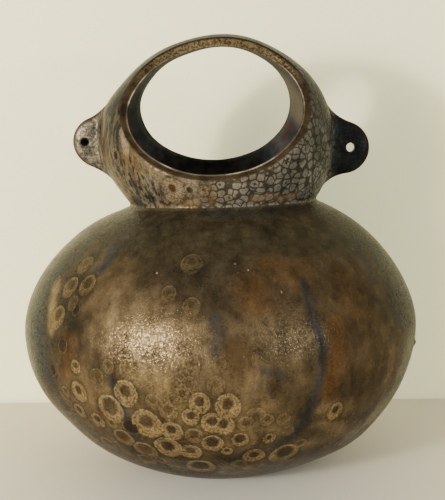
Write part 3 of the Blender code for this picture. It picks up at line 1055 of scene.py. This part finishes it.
# %% Tell each face its spots
def tell_spots(skin, spots):
    """Write the places of the two nearest spots, and their kinds, on the corners of the faces."""
    new_layer = skin.loops.layers.float_vector.new
    layers = [(new_layer(name), new_layer(name + "_kind")) for name in ("spot_near", "spot_next")]
    middles = kdtree.KDTree(len(spots))
    for index, spot in enumerate(spots):
        middles.insert(spot[0], index)
    middles.balance()
    told = 0
    for face in skin.faces:
        close = []
        if face.material_index != INSIDE:
            middle = face.calc_center_median()
            for _, index, away in middles.find_n(middle, NEIGHBOURS):
                reach = away / spots[index][3]
                if reach < SPOT_REACH * SPOT_STRETCH:
                    close.append((reach, spots[index]))
        close.sort(key=lambda pair: pair[0])
        told += bool(close)
        for rank, (place_layer, kind_layer) in enumerate(layers):
            for loop in face.loops:
                loop[place_layer] = NO_SPOT
                if rank < len(close):
                    place, across, down, half_width, kind = close[rank][1]
                    core, ochre, rusty, strength = SPOT_KINDS[kind]
                    away = loop.vert.co - place
                    loop[place_layer] = Vector((away.dot(across) / half_width,
                                                away.dot(down) / (half_width * SPOT_STRETCH), strength))
                    loop[kind_layer] = Vector((core, ochre, rusty))
    return told


print("faces that hold part of a spot:", tell_spots(skin, spots))

# %% [markdown]
# ## The piece
#
# The skin becomes one object with three glazes. Its place is in its mesh, so the object itself
# sits at the origin, and patterns on Object coordinates are in metres of the pot.

# %% Make the piece
mesh = bpy.data.meshes.new("clay_pot")
skin.to_mesh(mesh)
skin.free()
mesh.shade_smooth()
clay_pot = bpy.data.objects.new("clay_pot", mesh)
bpy.context.collection.objects.link(clay_pot)
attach(clay_pot, "root")
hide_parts("pot")
print("clay_pot:", len(mesh.polygons), "faces")

# %% [markdown]
# ## Laying out nodes
#
# A material is a tree of nodes. `Bench` adds a node, sets it and joins it in one call. A `Flow`
# is one output of a node, and plus, minus and times with a flow add the node that works the sum
# out, so that each glaze below reads as a recipe. `tone` turns a colour as seen on a screen into
# the linear numbers that Blender counts with. A glaze is darker than it looks under a bright
# light, so all of them are deepened by the same share.

# %% Tones
GLAZE_DEPTH = 0.92


def tone(red, green, blue):
    """A glaze colour, from a screen colour from 0 to 255."""
    linear = [((value / 255.0 + 0.055) / 1.055) ** 2.4 for value in (red, green, blue)]
    return (*[value * GLAZE_DEPTH for value in linear], 1.0)

# %% Flow
class Flow:
    """One output of a node. Each sum with it adds the node that works it out."""

    def __init__(self, bench, socket):
        self.bench = bench
        self.socket = socket

    def __add__(self, other):
        return self.bench.math("ADD", self, other)

    def __sub__(self, other):
        return self.bench.math("SUBTRACT", self, other)

    def __rsub__(self, other):
        return self.bench.math("SUBTRACT", other, self)

    def __mul__(self, other):
        return self.bench.math("MULTIPLY", self, other)

    def __abs__(self):
        return self.bench.math("ABSOLUTE", self)

    def parts(self):
        """The three numbers of a vector or a colour."""
        outputs = self.bench.add("SeparateXYZ", {0: self}).outputs
        return [Flow(self.bench, socket) for socket in outputs]

    def band(self, start, end):
        """0 before the start, 1 after the end, and smooth between."""
        return self.bench.take("MapRange", 0, {"Value": self, "From Min": start, "From Max": end},
                               interpolation_type="SMOOTHSTEP", clamp=True)

# %% Bench
NODES_IN_ROW = 12
NODE_WIDTH = 200.0
NODE_HEIGHT = 260.0


class Bench:
    """Short calls that add and join the nodes of one tree."""

    def __init__(self, tree):
        self.tree = tree

    def feed(self, socket, value):
        """Join a flow to a socket, or set the socket to a plain value."""
        if isinstance(value, Flow):
            self.tree.links.new(value.socket, socket)
        else:
            socket.default_value = value

    def add(self, kind, feeds=None, **settings):
        """Add a node, set it and feed its inputs."""
        node = self.tree.nodes.new("ShaderNode" + kind)
        row, column = divmod(len(self.tree.nodes), NODES_IN_ROW)
        node.location = (column * NODE_WIDTH, -row * NODE_HEIGHT)
        for name, value in settings.items():
            setattr(node, name, value)
        for name, value in (feeds or {}).items():
            self.feed(node.inputs[name], value)
        return node

    def take(self, kind, output, feeds=None, **settings):
        """Add a node and take one of its outputs."""
        return Flow(self, self.add(kind, feeds, **settings).outputs[output])

    def group(self, tree, **feeds):
        """Place a node group and take all its outputs by name."""
        outputs = self.add("Group", feeds, node_tree=tree).outputs
        return {socket.name: Flow(self, socket) for socket in outputs}

    def math(self, operation, first, second=0.0):
        return self.take("Math", 0, {0: first, 1: second}, operation=operation)

    def vector(self, operation, first, second=(0.0, 0.0, 0.0), output="Vector"):
        return self.take("VectorMath", output, {0: first, 1: second}, operation=operation)

    def mix(self, share, under, over, blend="MIX"):
        """Lay one colour over another by a share."""
        return self.take("Mix", 2, {0: share, 6: under, 7: over}, data_type="RGBA", blend_type=blend)

    def noise(self, place, scale, detail=2.0, roughness=0.5, output=0):
        feeds = {"Vector": place, "Scale": scale, "Detail": detail, "Roughness": roughness}
        return self.take("TexNoise", output, feeds)

    def layer(self, name, output="Fac"):
        """One painted layer of the skin, or a spot's frame as a vector."""
        return self.take("Attribute", output, attribute_name=name)

# %% Groups
def new_group(name, **inputs):
    """The bench of an empty node group, and a flow from each of its named inputs."""
    group = bpy.data.node_groups.new(name, "ShaderNodeTree")
    for label, kind in inputs.items():
        group.interface.new_socket(label, in_out="INPUT", socket_type="NodeSocket" + kind)
    bench = Bench(group)
    entry = group.nodes.new("NodeGroupInput").outputs
    return (bench, *[Flow(bench, entry[label]) for label in inputs])


def close_group(bench, **results):
    """Give the group its named outputs, and return it."""
    for label in results:
        kind = "NodeSocketColor" if label == "Color" else "NodeSocketFloat"
        bench.tree.interface.new_socket(label, in_out="OUTPUT", socket_type=kind)
    leave = bench.tree.nodes.new("NodeGroupOutput").inputs
    for label, flow in results.items():
        bench.feed(leave[label], flow)
    print("node group", bench.tree.name, "with", len(bench.tree.nodes), "nodes")
    return bench.tree

# %% [markdown]
# ## Three effects that glazes share
#
# Grain is in every glaze: fine crystals that catch the light, and pinholes. It gives a mottle for
# the colour and a height for the bump. A spot is drawn from its frame, and its outline is shaken
# by noise so that no two look alike. Cells are what a glaze does when it crawls: pale islands
# with dark seams. They come from Voronoi cells, where the distance to the edge gives the seam
# and the distance to the middle rounds the islands and marks a pinhole in some of them.

# %% Grain
# How many patches of each go to a metre.
MOTTLE_SCALE = 85.0
GRAIN_SCALE = 820.0
CRYSTAL_SCALE = 1250.0


def make_fine_grain():
    """Crystals and mottle in the glaze, from places in metres."""
    bench, place = new_group("fine_grain", Place="Vector")
    mottle = bench.noise(place, MOTTLE_SCALE, 4.0, 0.62)
    grain = bench.noise(place, GRAIN_SCALE, 3.0, 0.75)
    crystals = bench.noise(place, CRYSTAL_SCALE, 1.0, 0.6)
    return close_group(bench, Mottle=mottle.band(0.32, 0.68), Grain=grain.band(0.30, 0.70),
                       Height=grain * 0.6 + crystals * 0.5)


FINE_GRAIN = make_fine_grain()

# %% Ringed spot
SPOT_OCHRE = tone(144, 120, 80)
SPOT_CREAM = tone(160, 142, 104)
SPOT_CORE = tone(30, 27, 24)
SPOT_RUST = tone(66, 44, 27)
SPOT_HALO = tone(34, 26, 18)
SPOT_BEIGE = tone(142, 124, 96)
SPOT_SHAKE = 0.26
SPOT_SHAKE_SCALE = 300.0
SPOT_FADE_SCALE = 75.0
CORE_RISE = 0.20
LINE_REACH = 0.93
NOISE_MIDDLE = (0.5, 0.5, 0.5)


def make_ringed_spot():
    """One spot laid over the ground colour."""
    bench, ground, spot, kind, place, grain = new_group(
        "ringed_spot", Ground="Color", Frame="Vector", Kind="Vector", Place="Vector", Grain="Float")
    shake = bench.vector("SUBTRACT", bench.noise(place, SPOT_SHAKE_SCALE, 3.0, output="Color"), NOISE_MIDDLE)
    shake = bench.vector("MULTIPLY", shake, (SPOT_SHAKE, SPOT_SHAKE, 0.0))
    shaken = bench.vector("ADD", spot, shake)
    strength = spot.parts()[2]
    core_size, ochre, rusty = kind.parts()
    across, down, _ = shaken.parts()
    flat = bench.vector("MULTIPLY", shaken, (1.0, 1.0, 0.0))
    reach = bench.vector("LENGTH", flat, output="Value")
    raised = bench.take("CombineXYZ", 0, {0: across, 1: down + CORE_RISE, 2: 0.0})
    from_core = bench.vector("LENGTH", raised, output="Value")

    # Some spots are fainter than others. The body fades at its edge, with a dark halo round it.
    strength = strength * bench.math("MINIMUM", bench.noise(place, SPOT_FADE_SCALE, 1.0) + 0.45, 1.0)
    body = reach.band(1.08, 0.84) * strength
    halo = reach.band(1.45, 0.95) * (strength * 0.6)
    # The cream line round the body is broken by the grain, and strongest at the upper end.
    line = abs(reach - LINE_REACH).band(0.09, 0.01) * strength * grain.band(0.1, 0.5)
    line = line * ((down.band(0.6, -0.5) * 0.50 + 0.08) * ochre.band(-1.0, 0.6))
    # The core, with a thin rim on ochre spots.
    off_core = from_core - core_size
    core = off_core.band(0.14, -0.12) * strength
    rim = abs(off_core - 0.14).band(0.12, 0.02) * body * ochre.band(-1.6, 9.0)
    # The body is grainy, and fuller low down, where it ran.
    low = down.band(-0.7, 0.5) * 0.35 + 0.65
    grainy = (grain.band(0.15, 0.80) * 0.85 + 0.15) * low
    body_colour = bench.mix(ochre.band(-0.1, 0.1), SPOT_BEIGE, SPOT_OCHRE)

    colour = bench.mix(halo, ground, SPOT_HALO)
    colour = bench.mix(body * abs(ochre) * grainy, colour, body_colour)
    colour = bench.mix(rim, colour, SPOT_CREAM)
    colour = bench.mix(line, colour, SPOT_CREAM)
    colour = bench.mix(core, colour, bench.mix(rusty, SPOT_CORE, SPOT_RUST))
    return close_group(bench, Color=colour, Height=(line + rim) * 0.5 - core)


RINGED_SPOT = make_ringed_spot()

# %% Cells
CELL_SHAKE = 0.0022
CELL_SHAKE_SCALE = 260.0
CELL_DISORDER = 0.72


def make_glaze_cells():
    """Pale islands and dark seams, from places in metres and the size of a cell."""
    bench, place, size = new_group("glaze_cells", Place="Vector", Size="Float")
    shake = bench.vector("SUBTRACT", bench.noise(place, CELL_SHAKE_SCALE, output="Color"), NOISE_MIDDLE)
    shake = bench.vector("MULTIPLY", shake, (CELL_SHAKE, CELL_SHAKE, CELL_SHAKE))
    feeds = {"Vector": bench.vector("ADD", place, shake), "Scale": bench.math("DIVIDE", 1.0, size),
             "Randomness": CELL_DISORDER}
    edge = bench.take("TexVoronoi", "Distance", feeds, feature="DISTANCE_TO_EDGE")
    cell = bench.add("TexVoronoi", feeds, feature="F1").outputs
    middle = Flow(bench, cell["Distance"])
    shade, chosen, _ = Flow(bench, cell["Color"]).parts()
    island = edge.band(0.02, 0.11) * middle.band(0.70, 0.50)
    return close_group(bench, Island=island, Dot=middle.band(0.22, 0.13) * chosen.band(0.42, 0.47),
                       Shade=shade, Ring=middle.band(0.16, 0.40) * island)


GLAZE_CELLS = make_glaze_cells()

# %% [markdown]
# ## What a glaze is made of
#
# Every glaze starts from a ground, takes the brushed paints over it, then its pattern, and is
# shaded by its grain. It ends in one shader with a fine bump. The real glaze is partly matt, and
# its highlights sparkle from fine crystals. A smooth gloss over the whole pot would give one hard
# white highlight and pale edges. So the shader has almost no gloss, and a small metallic share
# that follows the grain, whose edges are held dark.

# %% Glaze helpers
LUSTRE_EDGE = (0.12, 0.115, 0.11, 1.0)
LUSTRE_PEAK = 3.0
LUSTRE_GROUND = 0.15
LUSTRE_FINENESS = 2.5


def new_glaze(name):
    """A material with its bench, its places in metres, its grain and its shader."""
    glaze = bpy.data.materials.new(name)
    glaze.use_nodes = True
    bench = Bench(glaze.node_tree)
    place = bench.take("TexCoord", "Object")
    mesh.materials.append(glaze)
    return bench, place, bench.group(FINE_GRAIN, Place=place), glaze.node_tree.nodes["Principled BSDF"]


def squashed(bench, place, height):
    """Places with their height squashed, so that noise on them runs down the wall."""
    return bench.vector("MULTIPLY", place, (1.0, 1.0, height))


def broken(bench, paint, speck, patchy):
    """A paint's share, made patchy by noise, most of all where it is thin."""
    layer = bench.layer(paint)
    shift = (speck - 0.5) * patchy * (1.0 - layer * 0.6)
    return bench.math("MINIMUM", layer * (shift + 1.0), 1.0)


def with_spots(bench, colour, place, grain):
    """Lay both of a face's spots over the colour. Returns the colour and a height."""
    heights = []
    for name in ("spot_next", "spot_near"):
        spot = bench.group(RINGED_SPOT, Ground=colour, Frame=bench.layer(name, "Vector"),
                           Kind=bench.layer(name + "_kind", "Vector"), Place=place, Grain=grain["Grain"])
        colour = spot["Color"]
        heights.append(spot["Height"])
    return colour, heights[0] + heights[1]


def shaded(bench, colour, shade):
    """A colour times a grey shade."""
    grey = bench.take("CombineColor", 0, {0: shade, 1: shade, 2: shade})
    return bench.mix(1.0, colour, grey, "MULTIPLY")


def finish_glaze(bench, shader, grain, colour, rough, height, depth, gloss, lustre):
    """Join a glaze to its shader, with a bump so deep, so much gloss and so much lustre."""
    crystals = bench.math("POWER", grain["Grain"], LUSTRE_FINENESS)
    finish = {"Base Color": colour, "Roughness": rough, "Specular IOR Level": gloss,
              "Metallic": crystals * (LUSTRE_PEAK * lustre) + LUSTRE_GROUND * lustre,
              "Specular Tint": LUSTRE_EDGE,
              "Normal": bench.take("Bump", 0, {"Height": height, "Distance": depth, "Strength": 1.0})}
    for name, value in finish.items():
        bench.feed(shader.inputs[name], value)

# %% [markdown]
# ## The belly's glaze
#
# It is a brown glaze, darker and cooler where it lies thick and ran down, and warmer where it is
# thin. A picture could be laid on it, but it would be right from one side only. Here the ground
# is a cloudy noise, the brushed paints lie over it, and the fine runs are noise on places whose
# height is squashed, which draws it out from top to bottom. High up it starts to crackle. Some
# paints stand for light: a painted sheen along the sides and under the belly, and painted
# highlight in the warm field at the left.

# %% Belly glaze
BELLY_DARK = tone(47, 40, 30)
BELLY_BROWN = tone(80, 66, 47)
BELLY_CRACKLE = tone(70, 63, 46)
CLOUD_SCALE = 22.0
RUN_SCALE = 130.0
RUN_SQUASH = 0.30
CRACKLE_SIZE = 0.0062
CRACKLE_FROM, CRACKLE_TO = 0.120, 0.150
# For each paint, in the order in which they lie over one another: its colour and how patchy it is.
# pale is a painted sheen at the edges, and tan is partly a painted highlight.
BELLY_PAINTS = {"olive": (tone(42, 40, 31), 0.6), "tan": (tone(112, 94, 68), 1.2),
                "ochre": (tone(118, 99, 68), 1.4), "rust": (tone(86, 61, 36), 1.2),
                "pale": (tone(128, 119, 98), 1.6), "ink": (tone(43, 46, 48), 1.0)}


def belly_glaze():
    """Dark brown glaze with warm fields, dark runs, ringed spots and a faint crackle above."""
    bench, place, grain, shader = new_glaze("belly_glaze")
    cloud = bench.noise(place, CLOUD_SCALE, 4.0, 0.6).band(0.36, 0.64)
    speck = grain["Grain"] * 0.55 + grain["Mottle"] * 0.45
    colour = bench.mix(cloud * 0.6 + speck * 0.4, BELLY_DARK, BELLY_BROWN)
    for paint, (over, patchy) in BELLY_PAINTS.items():
        colour = bench.mix(broken(bench, paint, speck, patchy), colour, over)

    crackle = bench.group(GLAZE_CELLS, Place=place, Size=CRACKLE_SIZE)
    high = place.parts()[2].band(CRACKLE_FROM, CRACKLE_TO)
    colour = bench.mix(crackle["Island"] * high * 0.30, colour, BELLY_CRACKLE)
    colour, spot_height = with_spots(bench, colour, place, grain)

    runs = bench.noise(squashed(bench, place, RUN_SQUASH), RUN_SCALE, 4.0, 0.65).band(0.34, 0.66)
    shade = grain["Grain"] * 0.66 + 0.29 + runs * 0.40 + grain["Mottle"] * 0.30
    finish_glaze(bench, shader, grain, shaded(bench, colour, shade), grain["Mottle"] * 0.10 + 0.20,
                 grain["Height"] + spot_height * 0.5, depth=0.00030, gloss=0.04, lustre=0.30)


belly_glaze()

# %% [markdown]
# ## The bulb's glaze
#
# The bulb is paler than the belly. At the left its glaze ran in streaks, and at the right it
# crawled and drew together into islands. A slanted line across the bulb, a little shaken by the
# mottle, parts the two. The layers that the skin was grown with do the rest: `lip` colours the
# cut face of the window, a painted highlight along its crest and its dark outer edge, and `lug`
# colours the lugs.

# %% Bulb colours
STREAK_DARK = tone(36, 30, 23)
STREAK_GREY = tone(60, 58, 53)
STREAK_BEIGE = tone(106, 96, 77)
STREAK_OCHRE = tone(108, 87, 58)
CELL_PALE = tone(110, 107, 98)
CELL_DEEP = tone(88, 85, 78)
CELL_SEAM = tone(57, 52, 43)
CELL_GOLDEN = tone(128, 110, 78)
BAND_GREY = tone(34, 34, 33)
CUT_OCHRE = tone(98, 83, 57)
CUT_BROWN = tone(48, 38, 27)
LINE_DARK = tone(44, 32, 24)
CREST_HIGHLIGHT = tone(176, 164, 144)
LEFT_LUG = tone(140, 128, 108)
RIGHT_LUG = tone(32, 33, 34)
LUG_RIM = tone(62, 46, 32)
STREAK_SCALE = 230.0
STREAK_SQUASH = 0.26
VEIN_SCALE = 420.0
WARM_SCALE = 90.0
WARM_SQUASH = 0.3
CREST_HIGHLIGHT_PATCH_SCALE = 60.0
CELL_SIZE = 0.0046
CELL_SLANT = 0.71
# For each paint: its colour, how fully it covers and how patchy it is.
# pale is partly painted light and a painted highlight, and ink is partly painted shade.
BULB_PAINTS = {"pale": (tone(146, 130, 104), 0.8, 1.4), "rust": (tone(112, 88, 54), 0.8, 1.4),
               "ink": (tone(34, 36, 37), 0.9, 1.0)}

# %% Streaks and islands
def streaks_on(bench, place):
    """Grey and beige streaks that run down the wall, with dark veins and warm places."""
    along = squashed(bench, place, STREAK_SQUASH)
    streak = bench.noise(along, STREAK_SCALE, 4.0, 0.7).band(0.42, 0.60)
    vein = bench.noise(along, VEIN_SCALE, 2.0, 0.6).band(0.50, 0.60)
    warm = bench.noise(squashed(bench, place, WARM_SQUASH), WARM_SCALE).band(0.46, 0.62)
    streaks = bench.mix(streak, STREAK_GREY, STREAK_BEIGE)
    streaks = bench.mix(warm * 0.6, streaks, STREAK_OCHRE)
    return bench.mix(vein * 0.85, streaks, STREAK_DARK)


def cells_on(bench, cell, speck, lean, up):
    """Pale islands in dark seams, golden towards the left and darker on the strap."""
    pale = bench.mix(cell["Shade"] * 0.3 + speck * 0.35 + cell["Ring"] * 0.4, CELL_DEEP, CELL_PALE)
    pale = bench.mix(lean.band(-0.080, -0.135) * 0.5, pale, CELL_GOLDEN)
    pale = bench.mix(cell["Dot"], pale, CELL_SEAM)
    celled = bench.mix(cell["Island"], CELL_SEAM, pale)
    return bench.mix(up.band(0.185, 0.230) * 0.5, celled, CELL_SEAM)

# %% Bulb glaze
def bulb_glaze():
    """Streaks on the left, pale cells on the right, an ochre cut face and coloured lugs."""
    bench, place, grain, shader = new_glaze("bulb_glaze")
    across, deep, up = place.parts()
    speck = grain["Grain"] * 0.5 + grain["Mottle"] * 0.5

    # Cells begin left of the middle at the neck, and only at the right on the strap.
    lean = across - up * CELL_SLANT
    is_celled = (lean + (grain["Mottle"] - 0.5) * 0.016).band(-0.142, -0.124)
    cell = bench.group(GLAZE_CELLS, Place=place, Size=CELL_SIZE)
    colour = bench.mix(is_celled, streaks_on(bench, place), cells_on(bench, cell, speck, lean, up))
    top = up.band(0.232, 0.250)
    colour = bench.mix(top * 0.85, colour, BAND_GREY)
    for paint, (over, cover, patchy) in BULB_PAINTS.items():
        colour = bench.mix(broken(bench, paint, speck, patchy) * cover, colour, over)

    # The left lug is pale and the right one dark, both with a rim of their own.
    is_lug = bench.layer("lug")
    right = across.band(-0.01, 0.01)
    lug = bench.mix(right, bench.mix(speck, STREAK_GREY, LEFT_LUG), RIGHT_LUG)
    rim = abs(deep).band(0.0034, 0.0022)
    lug = bench.mix(rim * 0.85, lug, bench.mix(right, LUG_RIM, LINE_DARK))
    colour = bench.mix(is_lug * 0.96, colour, lug)
    colour, spot_height = with_spots(bench, colour, place, grain)

    # The cut face is brown and golden at the top, between a dark outer line and a painted highlight along
    # the crest.
    lip = bench.layer("lip")
    golden = up.band(0.232, 0.252) * grain["Grain"].band(0.25, 0.60)
    face = bench.mix(grain["Mottle"] * 0.2, CUT_BROWN, CUT_OCHRE)
    face = bench.mix(golden, face, CUT_OCHRE)
    colour = bench.mix(lip.band(0.86, 0.70), colour, face)
    edge_line = abs(lip - 0.88).band(0.12, 0.04)
    colour = bench.mix(edge_line * (top * 0.7 + 0.2), colour, LINE_DARK)
    # The crest's pale line is a painted highlight, broken into patches by noise.
    patches = bench.noise(place, CREST_HIGHLIGHT_PATCH_SCALE, 3.0).band(0.46, 0.62)
    crest = abs(lip - 0.14).band(0.12, 0.03) * (patches * 0.6 + 0.15)
    colour = bench.mix(crest * (0.9 - top * 0.5), colour, CREST_HIGHLIGHT)

    shade = grain["Grain"] * 0.60 + 0.38 + grain["Mottle"] * 0.50
    islands = cell["Island"] * is_celled * is_lug.band(0.6, 0.1)
    height = grain["Height"] * 0.7 + islands + spot_height * 0.5
    finish_glaze(bench, shader, grain, shaded(bench, colour, shade), grain["Mottle"] * 0.10 + 0.26,
                 height, depth=0.00024, gloss=0.02, lustre=0.16)


bulb_glaze()

# %% [markdown]
# ## The hollow's glaze
#
# Inside, the glaze is blue-black and dry. Little of it shows, so it has a mottled ground and two
# brushed paints: a pale field of painted light where light falls through the window, and rust at its edge.

# %% Inside glaze
HOLLOW_INK = tone(36, 38, 42)
HOLLOW_GREY = tone(66, 63, 60)
HOLLOW_PAINTED_LIGHT = tone(92, 84, 70)
HOLLOW_RUST = tone(58, 40, 34)


def inside_glaze():
    """Blue-black glaze in the hollow, with painted light where light falls through the window."""
    bench, _, grain, shader = new_glaze("inside_glaze")
    colour = bench.mix(grain["Mottle"], HOLLOW_INK, HOLLOW_GREY)
    # The pale layer here is painted light where light falls through the window.
    colour = bench.mix(bench.layer("pale"), colour, HOLLOW_PAINTED_LIGHT)
    colour = bench.mix(bench.layer("rust"), colour, HOLLOW_RUST)
    finish_glaze(bench, shader, grain, colour, grain["Mottle"] * 0.10 + 0.40, grain["Height"],
                 depth=0.00015, gloss=0.10, lustre=0.10)


inside_glaze()
print("glazes:", [material.name for material in mesh.materials])

# %% [markdown]
# ## Table and wall
#
# The pot stands on a plain table close to a plain wall. Both have a slight glow of their own,
# which stands for the rest of a bright room: more light from all round would grey the dark glaze.
# They are clear from behind, so that the pot's back can be looked at through the wall.

# %% Stage
TABLE_EDGE = 0.1185
TABLE_SKEW = -0.040
WALL_GAP = 0.004
STAGE_SIDE = 1.5
STAGE_FRONT = -1.2
WALL_FOOT, WALL_TOP = -1.0, 2.0


def flat_sheet(name, corners, material):
    """One flat face for the setting."""
    sheet = bmesh.new()
    sheet.faces.new([sheet.verts.new(corner) for corner in corners])
    data = bpy.data.meshes.new(name)
    sheet.to_mesh(data)
    sheet.free()
    data.materials.append(material)
    made = bpy.data.objects.new(name, data)
    bpy.context.collection.objects.link(made)


def matt_paint(name, colour, glow):
    """Plain matt paint that glows a little and is clear from behind."""
    paint = bpy.data.materials.new(name)
    paint.use_nodes = True
    bench = Bench(paint.node_tree)
    shader = paint.node_tree.nodes["Principled BSDF"]
    for label, value in (("Base Color", (*colour, 1.0)), ("Roughness", 0.8),
                         ("Emission Color", (*colour, 1.0)), ("Emission Strength", glow)):
        bench.feed(shader.inputs[label], value)
    sides = bench.take("MixShader", 0, {0: bench.take("NewGeometry", "Backfacing"),
                                        1: Flow(bench, shader.outputs["BSDF"]),
                                        2: bench.take("BsdfTransparent", "BSDF")})
    bench.feed(paint.node_tree.nodes["Material Output"].inputs["Surface"], sides)
    return paint


left_edge = TABLE_EDGE - STAGE_SIDE * TABLE_SKEW
right_edge = TABLE_EDGE + STAGE_SIDE * TABLE_SKEW
flat_sheet("table", [(-STAGE_SIDE, STAGE_FRONT, 0.0), (STAGE_SIDE, STAGE_FRONT, 0.0),
                     (STAGE_SIDE, right_edge, 0.0), (-STAGE_SIDE, left_edge, 0.0)],
           matt_paint("table_paint", (0.76, 0.695, 0.57), 0.04))
flat_sheet("wall", [(-STAGE_SIDE, left_edge + WALL_GAP, WALL_FOOT),
                    (STAGE_SIDE, right_edge + WALL_GAP, WALL_FOOT),
                    (STAGE_SIDE, right_edge + WALL_GAP, WALL_TOP),
                    (-STAGE_SIDE, left_edge + WALL_GAP, WALL_TOP)],
           matt_paint("wall_paint", (0.95, 0.90, 0.56), 0.34))
print("table and wall meet", round(TABLE_EDGE, 4), "m behind the pot's middle")

# %% [markdown]
# ## Light
#
# A soft lamp at the left gives the pot its round form, and a far smaller one at the same place
# sets the sparkle of the main highlight. A narrow cool lamp at the right makes the second
# highlight, and a wide weak one fills the shade.

# %% Lights
# For each lamp: place, target, width, height, power in watts and colour.
LAMPS = {
    "key_light": ((-0.74, -0.95, 0.34), (0.0, 0.0, 0.12), 0.40, 0.40, 14.0, (1.0, 0.95, 0.82)),
    "spark_light": ((-0.74, -0.95, 0.34), (0.0, 0.0, 0.12), 0.10, 0.10, 11.0, (0.94, 0.97, 1.0)),
    "fill_light": ((1.0, -1.1, 0.7), (0.0, 0.0, 0.10), 0.80, 0.80, 4.0, (1.0, 0.97, 0.90)),
    "side_light": ((0.77, -0.92, 0.29), (0.03, -0.1, 0.10), 0.24, 0.05, 3.8, (0.66, 0.85, 1.0)),
}
ROOM_COLOUR = (0.9, 0.86, 0.73, 1.0)
ROOM_LIGHT = 0.43

for name, (place, target, width, height, power, colour) in LAMPS.items():
    data = bpy.data.lights.new(name, "AREA")
    data.shape = "RECTANGLE"
    data.size = width
    data.size_y = height
    data.energy = power
    data.color = colour
    lamp = bpy.data.objects.new(name, data)
    lamp.location = place
    lamp.rotation_euler = (Vector(target) - Vector(place)).to_track_quat("-Z", "Y").to_euler()
    bpy.context.collection.objects.link(lamp)
world = bpy.data.worlds.new("room")
world.use_nodes = True
background = world.node_tree.nodes["Background"]
background.inputs["Color"].default_value = ROOM_COLOUR
background.inputs["Strength"].default_value = ROOM_LIGHT
bpy.context.scene.world = world
print("lamps:", list(LAMPS))
